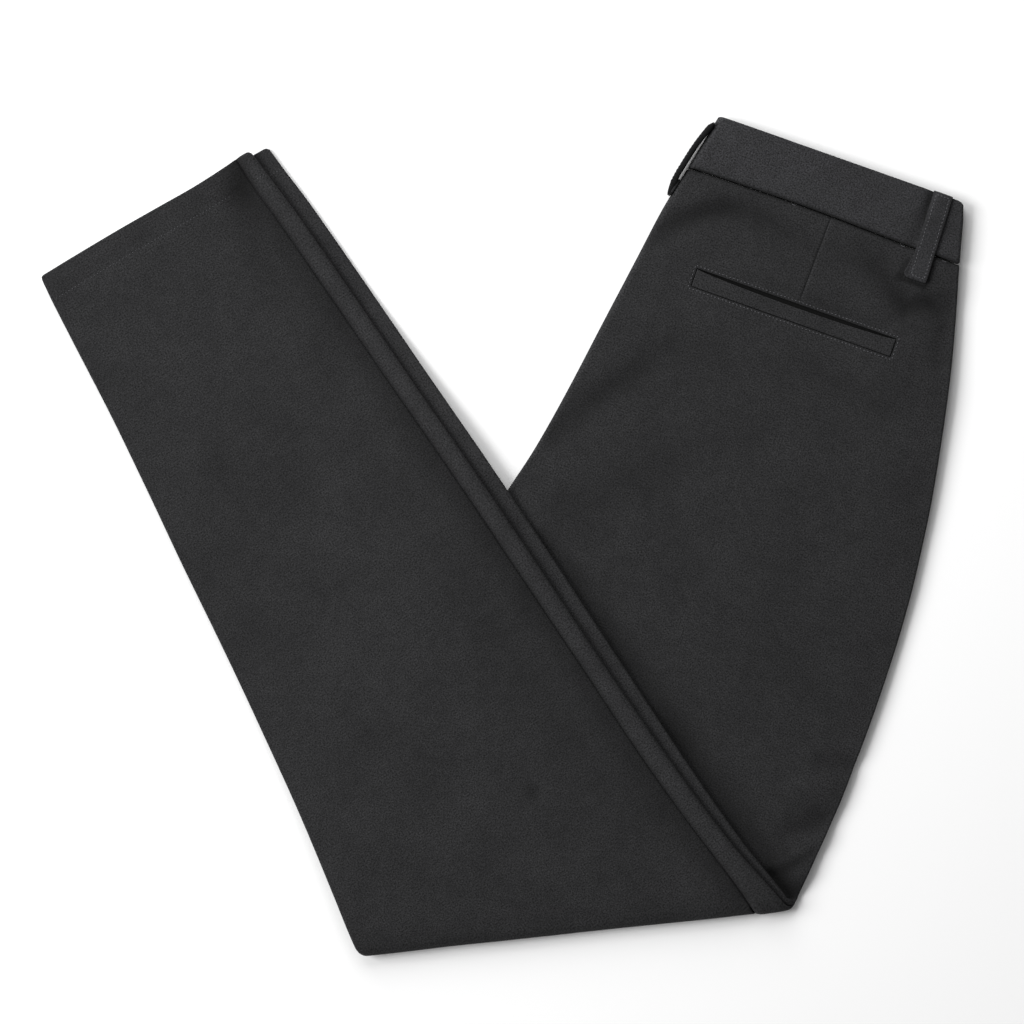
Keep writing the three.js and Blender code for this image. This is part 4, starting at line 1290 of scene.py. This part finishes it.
left, right = POCKET["from"] - WELT_STITCH_OUT, POCKET["to"] + WELT_STITCH_OUT
high, low = POCKET["top"] - WELT_STITCH_OUT, POCKET["bottom"] + WELT_STITCH_OUT
along_row, down_row = evenly(left, right, STITCH_PITCH), evenly(high, low, STITCH_PITCH)
rows = [row_on(on_leg(down=down), along_row, STITCH_LENGTH) for down in (high, low)]
rows += [row_on(on_leg(across=across), down_row, STITCH_LENGTH) for across in (left, right)]
pocket_stitches = stitches("pocket_stitches", rows)

# %% [markdown]
# The side loop has a rectangle of stitches. The loop at the centre back shows its face only from the left,
# and has a row along each edge.

# %% Rows on the loops
LOOP_ROW_IN = 2.0  # mm from a loop's edge
LOOP_ROWS = (6.3, 60.5)  # mm along the side loop
BACK_LOOP_ROWS = (2, 20)  # mm from the back loop's upper end and its lower end to its rows


def on_side_loop(run=None, wide=None):
    """A row on the side loop, at one distance along it or across it."""

    def where(at, above):
        row_run, row_wide = running(at, run, wide)
        down, height = (np.interp(row_run, side_at, side_path[:, i]) for i in (0, 1))
        along = along_at(section(down), loop_across(down) + row_wide)
        return place(down, along, height + half_loop + SUNK + above)[0]

    return where


def on_back_loop(height):
    """A row on the outer face of the loop at the centre back, at a height above the table."""

    def where(at, above):
        down, out, thick = (np.interp(at, back_at, of) for of in (*back_path.T, thickness[:, 0]))
        return place(down, -(out + thick / 2 + SUNK + above), height + 0 * at)[0]

    return where


edge = LOOP["width"] / 2 - LOOP_ROW_IN
along_row, wide_row = evenly(*LOOP_ROWS, STITCH_PITCH), evenly(-edge, edge, STITCH_PITCH)
rows = [row_on(on_side_loop(wide=wide), along_row, STITCH_LENGTH) for wide in (-edge, edge)]
rows += [row_on(on_side_loop(run=run), wide_row, STITCH_LENGTH) for run in LOOP_ROWS]
side_loop_stitches = stitches("side_belt_loop_stitches", rows)

at = evenly(BACK_LOOP_ROWS[0], back_at[-1] - BACK_LOOP_ROWS[1], STITCH_PITCH)
heights = (BACK_LOOP_BASE + LOOP_ROW_IN, BACK_LOOP_BASE + BACK_LOOP_HEIGHT - LOOP_ROW_IN)
rows = [row_on(on_back_loop(height), at, STITCH_LENGTH) for height in heights]
back_loop_stitches = stitches("centre_back_belt_loop_stitches", rows)

# %% [markdown]
# Three short tacks catch the waistband down, just below its seam. The hems are sewn blind, so that only the
# short ends of their thread show, on both sides of the side seam and on the lower leg's strip.

# %% Tacks and hems
TACKS = (-19.7, 55.8, 84.3)  # mm across
TACK_BELOW, TACK_HALF, TACK_PITCH, TACK_LENGTH = 1.4, 1.3, 0.9, 0.8  # mm; below is from the seam
HEM_PITCH, HEM_STITCH_LENGTH = 2.4, 0.6  # mm
CLEAR_INSEAM, CLEAR_SEAM, CLEAR_EDGE, CLEAR_STEP = 2.5, 1.5, 1.2, 0.6  # mm that the rows keep from these


def on_hem(bowed, from_top):
    """A row along the hem's stitching. from_top is how many plies below the top the cloth lies."""

    def where(at, above):
        t = np.full(at.shape, HEM_ROW)
        s = section(t)
        return place(t, at, from_top * s["ply"] + stitch_pull(t) - SUNK - above, bowed)[0]

    return where


tack_row = on_leg(down=ROW["band seam"] + TACK_BELOW)
tacks = [evenly(across - TACK_HALF, across + TACK_HALF, TACK_PITCH) for across in TACKS]
waist_tacks = stitches("waist_tacks", [row_on(tack_row, at, TACK_LENGTH) for at in tacks])

s = section(HEM_ROW)
seam, left_edge, right_edge = float(seam_at(s)), float(s["width"] - s["step"]), float(s["width"])
hem_rows = [  # where it lies, and from where to where it runs
    (on_hem(True, 0), CLEAR_INSEAM, seam - CLEAR_SEAM),
    (on_hem(True, 0), seam + CLEAR_SEAM, left_edge - CLEAR_EDGE),
    (on_hem(False, 2), left_edge + CLEAR_STEP, right_edge - CLEAR_EDGE),
]
rows = [row_on(where, evenly(start, stop, HEM_PITCH), HEM_STITCH_LENGTH) for where, start, stop in hem_rows]
hem_stitches = stitches("hem_stitches", rows)

# %% [markdown]
# The thread is spun polyester, smoother than the cloth, so it catches the light as small lighter dashes.

# %% Thread
sewing_thread, tree = new_material("polyester_sewing_thread")
# base colour lighter than the cloth's: painted highlight for the thread's shine; the lower roughness is real
thread = add_node(
    tree, "ShaderNodeBsdfPrincipled", Base_Color=linear("505054"), Roughness=0.55, IOR=1.54, Sheen_Weight=0.1
)
add_node(tree, "ShaderNodeOutputMaterial", {"Surface": thread.outputs["BSDF"]})
for made, node, slot in (
    (pocket_stitches, "right_back_panel", "twill"),
    (waist_tacks, "right_back_panel", "twill"),
    (hem_stitches, "left_back_panel", "twill"),
    (side_loop_stitches, "belt_loop_side", "loop_twill"),
    (back_loop_stitches, "belt_loop_back", "loop_twill"),
):
    wear(made, node, sewing_thread)

# %% [markdown]
# ## Sheets
#
# Each piece of cloth says what size it was cut to.

# %% Sheets
ROUNDED_UP = 1.001  # so that rounding never makes a cut smaller than its area
for piece, width, length, area in sheets:
    size = (width * ROUNDED_UP, length * ROUNDED_UP)
    print(piece.name, [round(v / MM) for v in size], "mm, area", round(area, 4), "m2")

# %% [markdown]
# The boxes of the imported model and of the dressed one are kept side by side.

# %% Finish
size = {"cad": [list(cad_low), list(cad_high)], "visual": [list(v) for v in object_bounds()]}
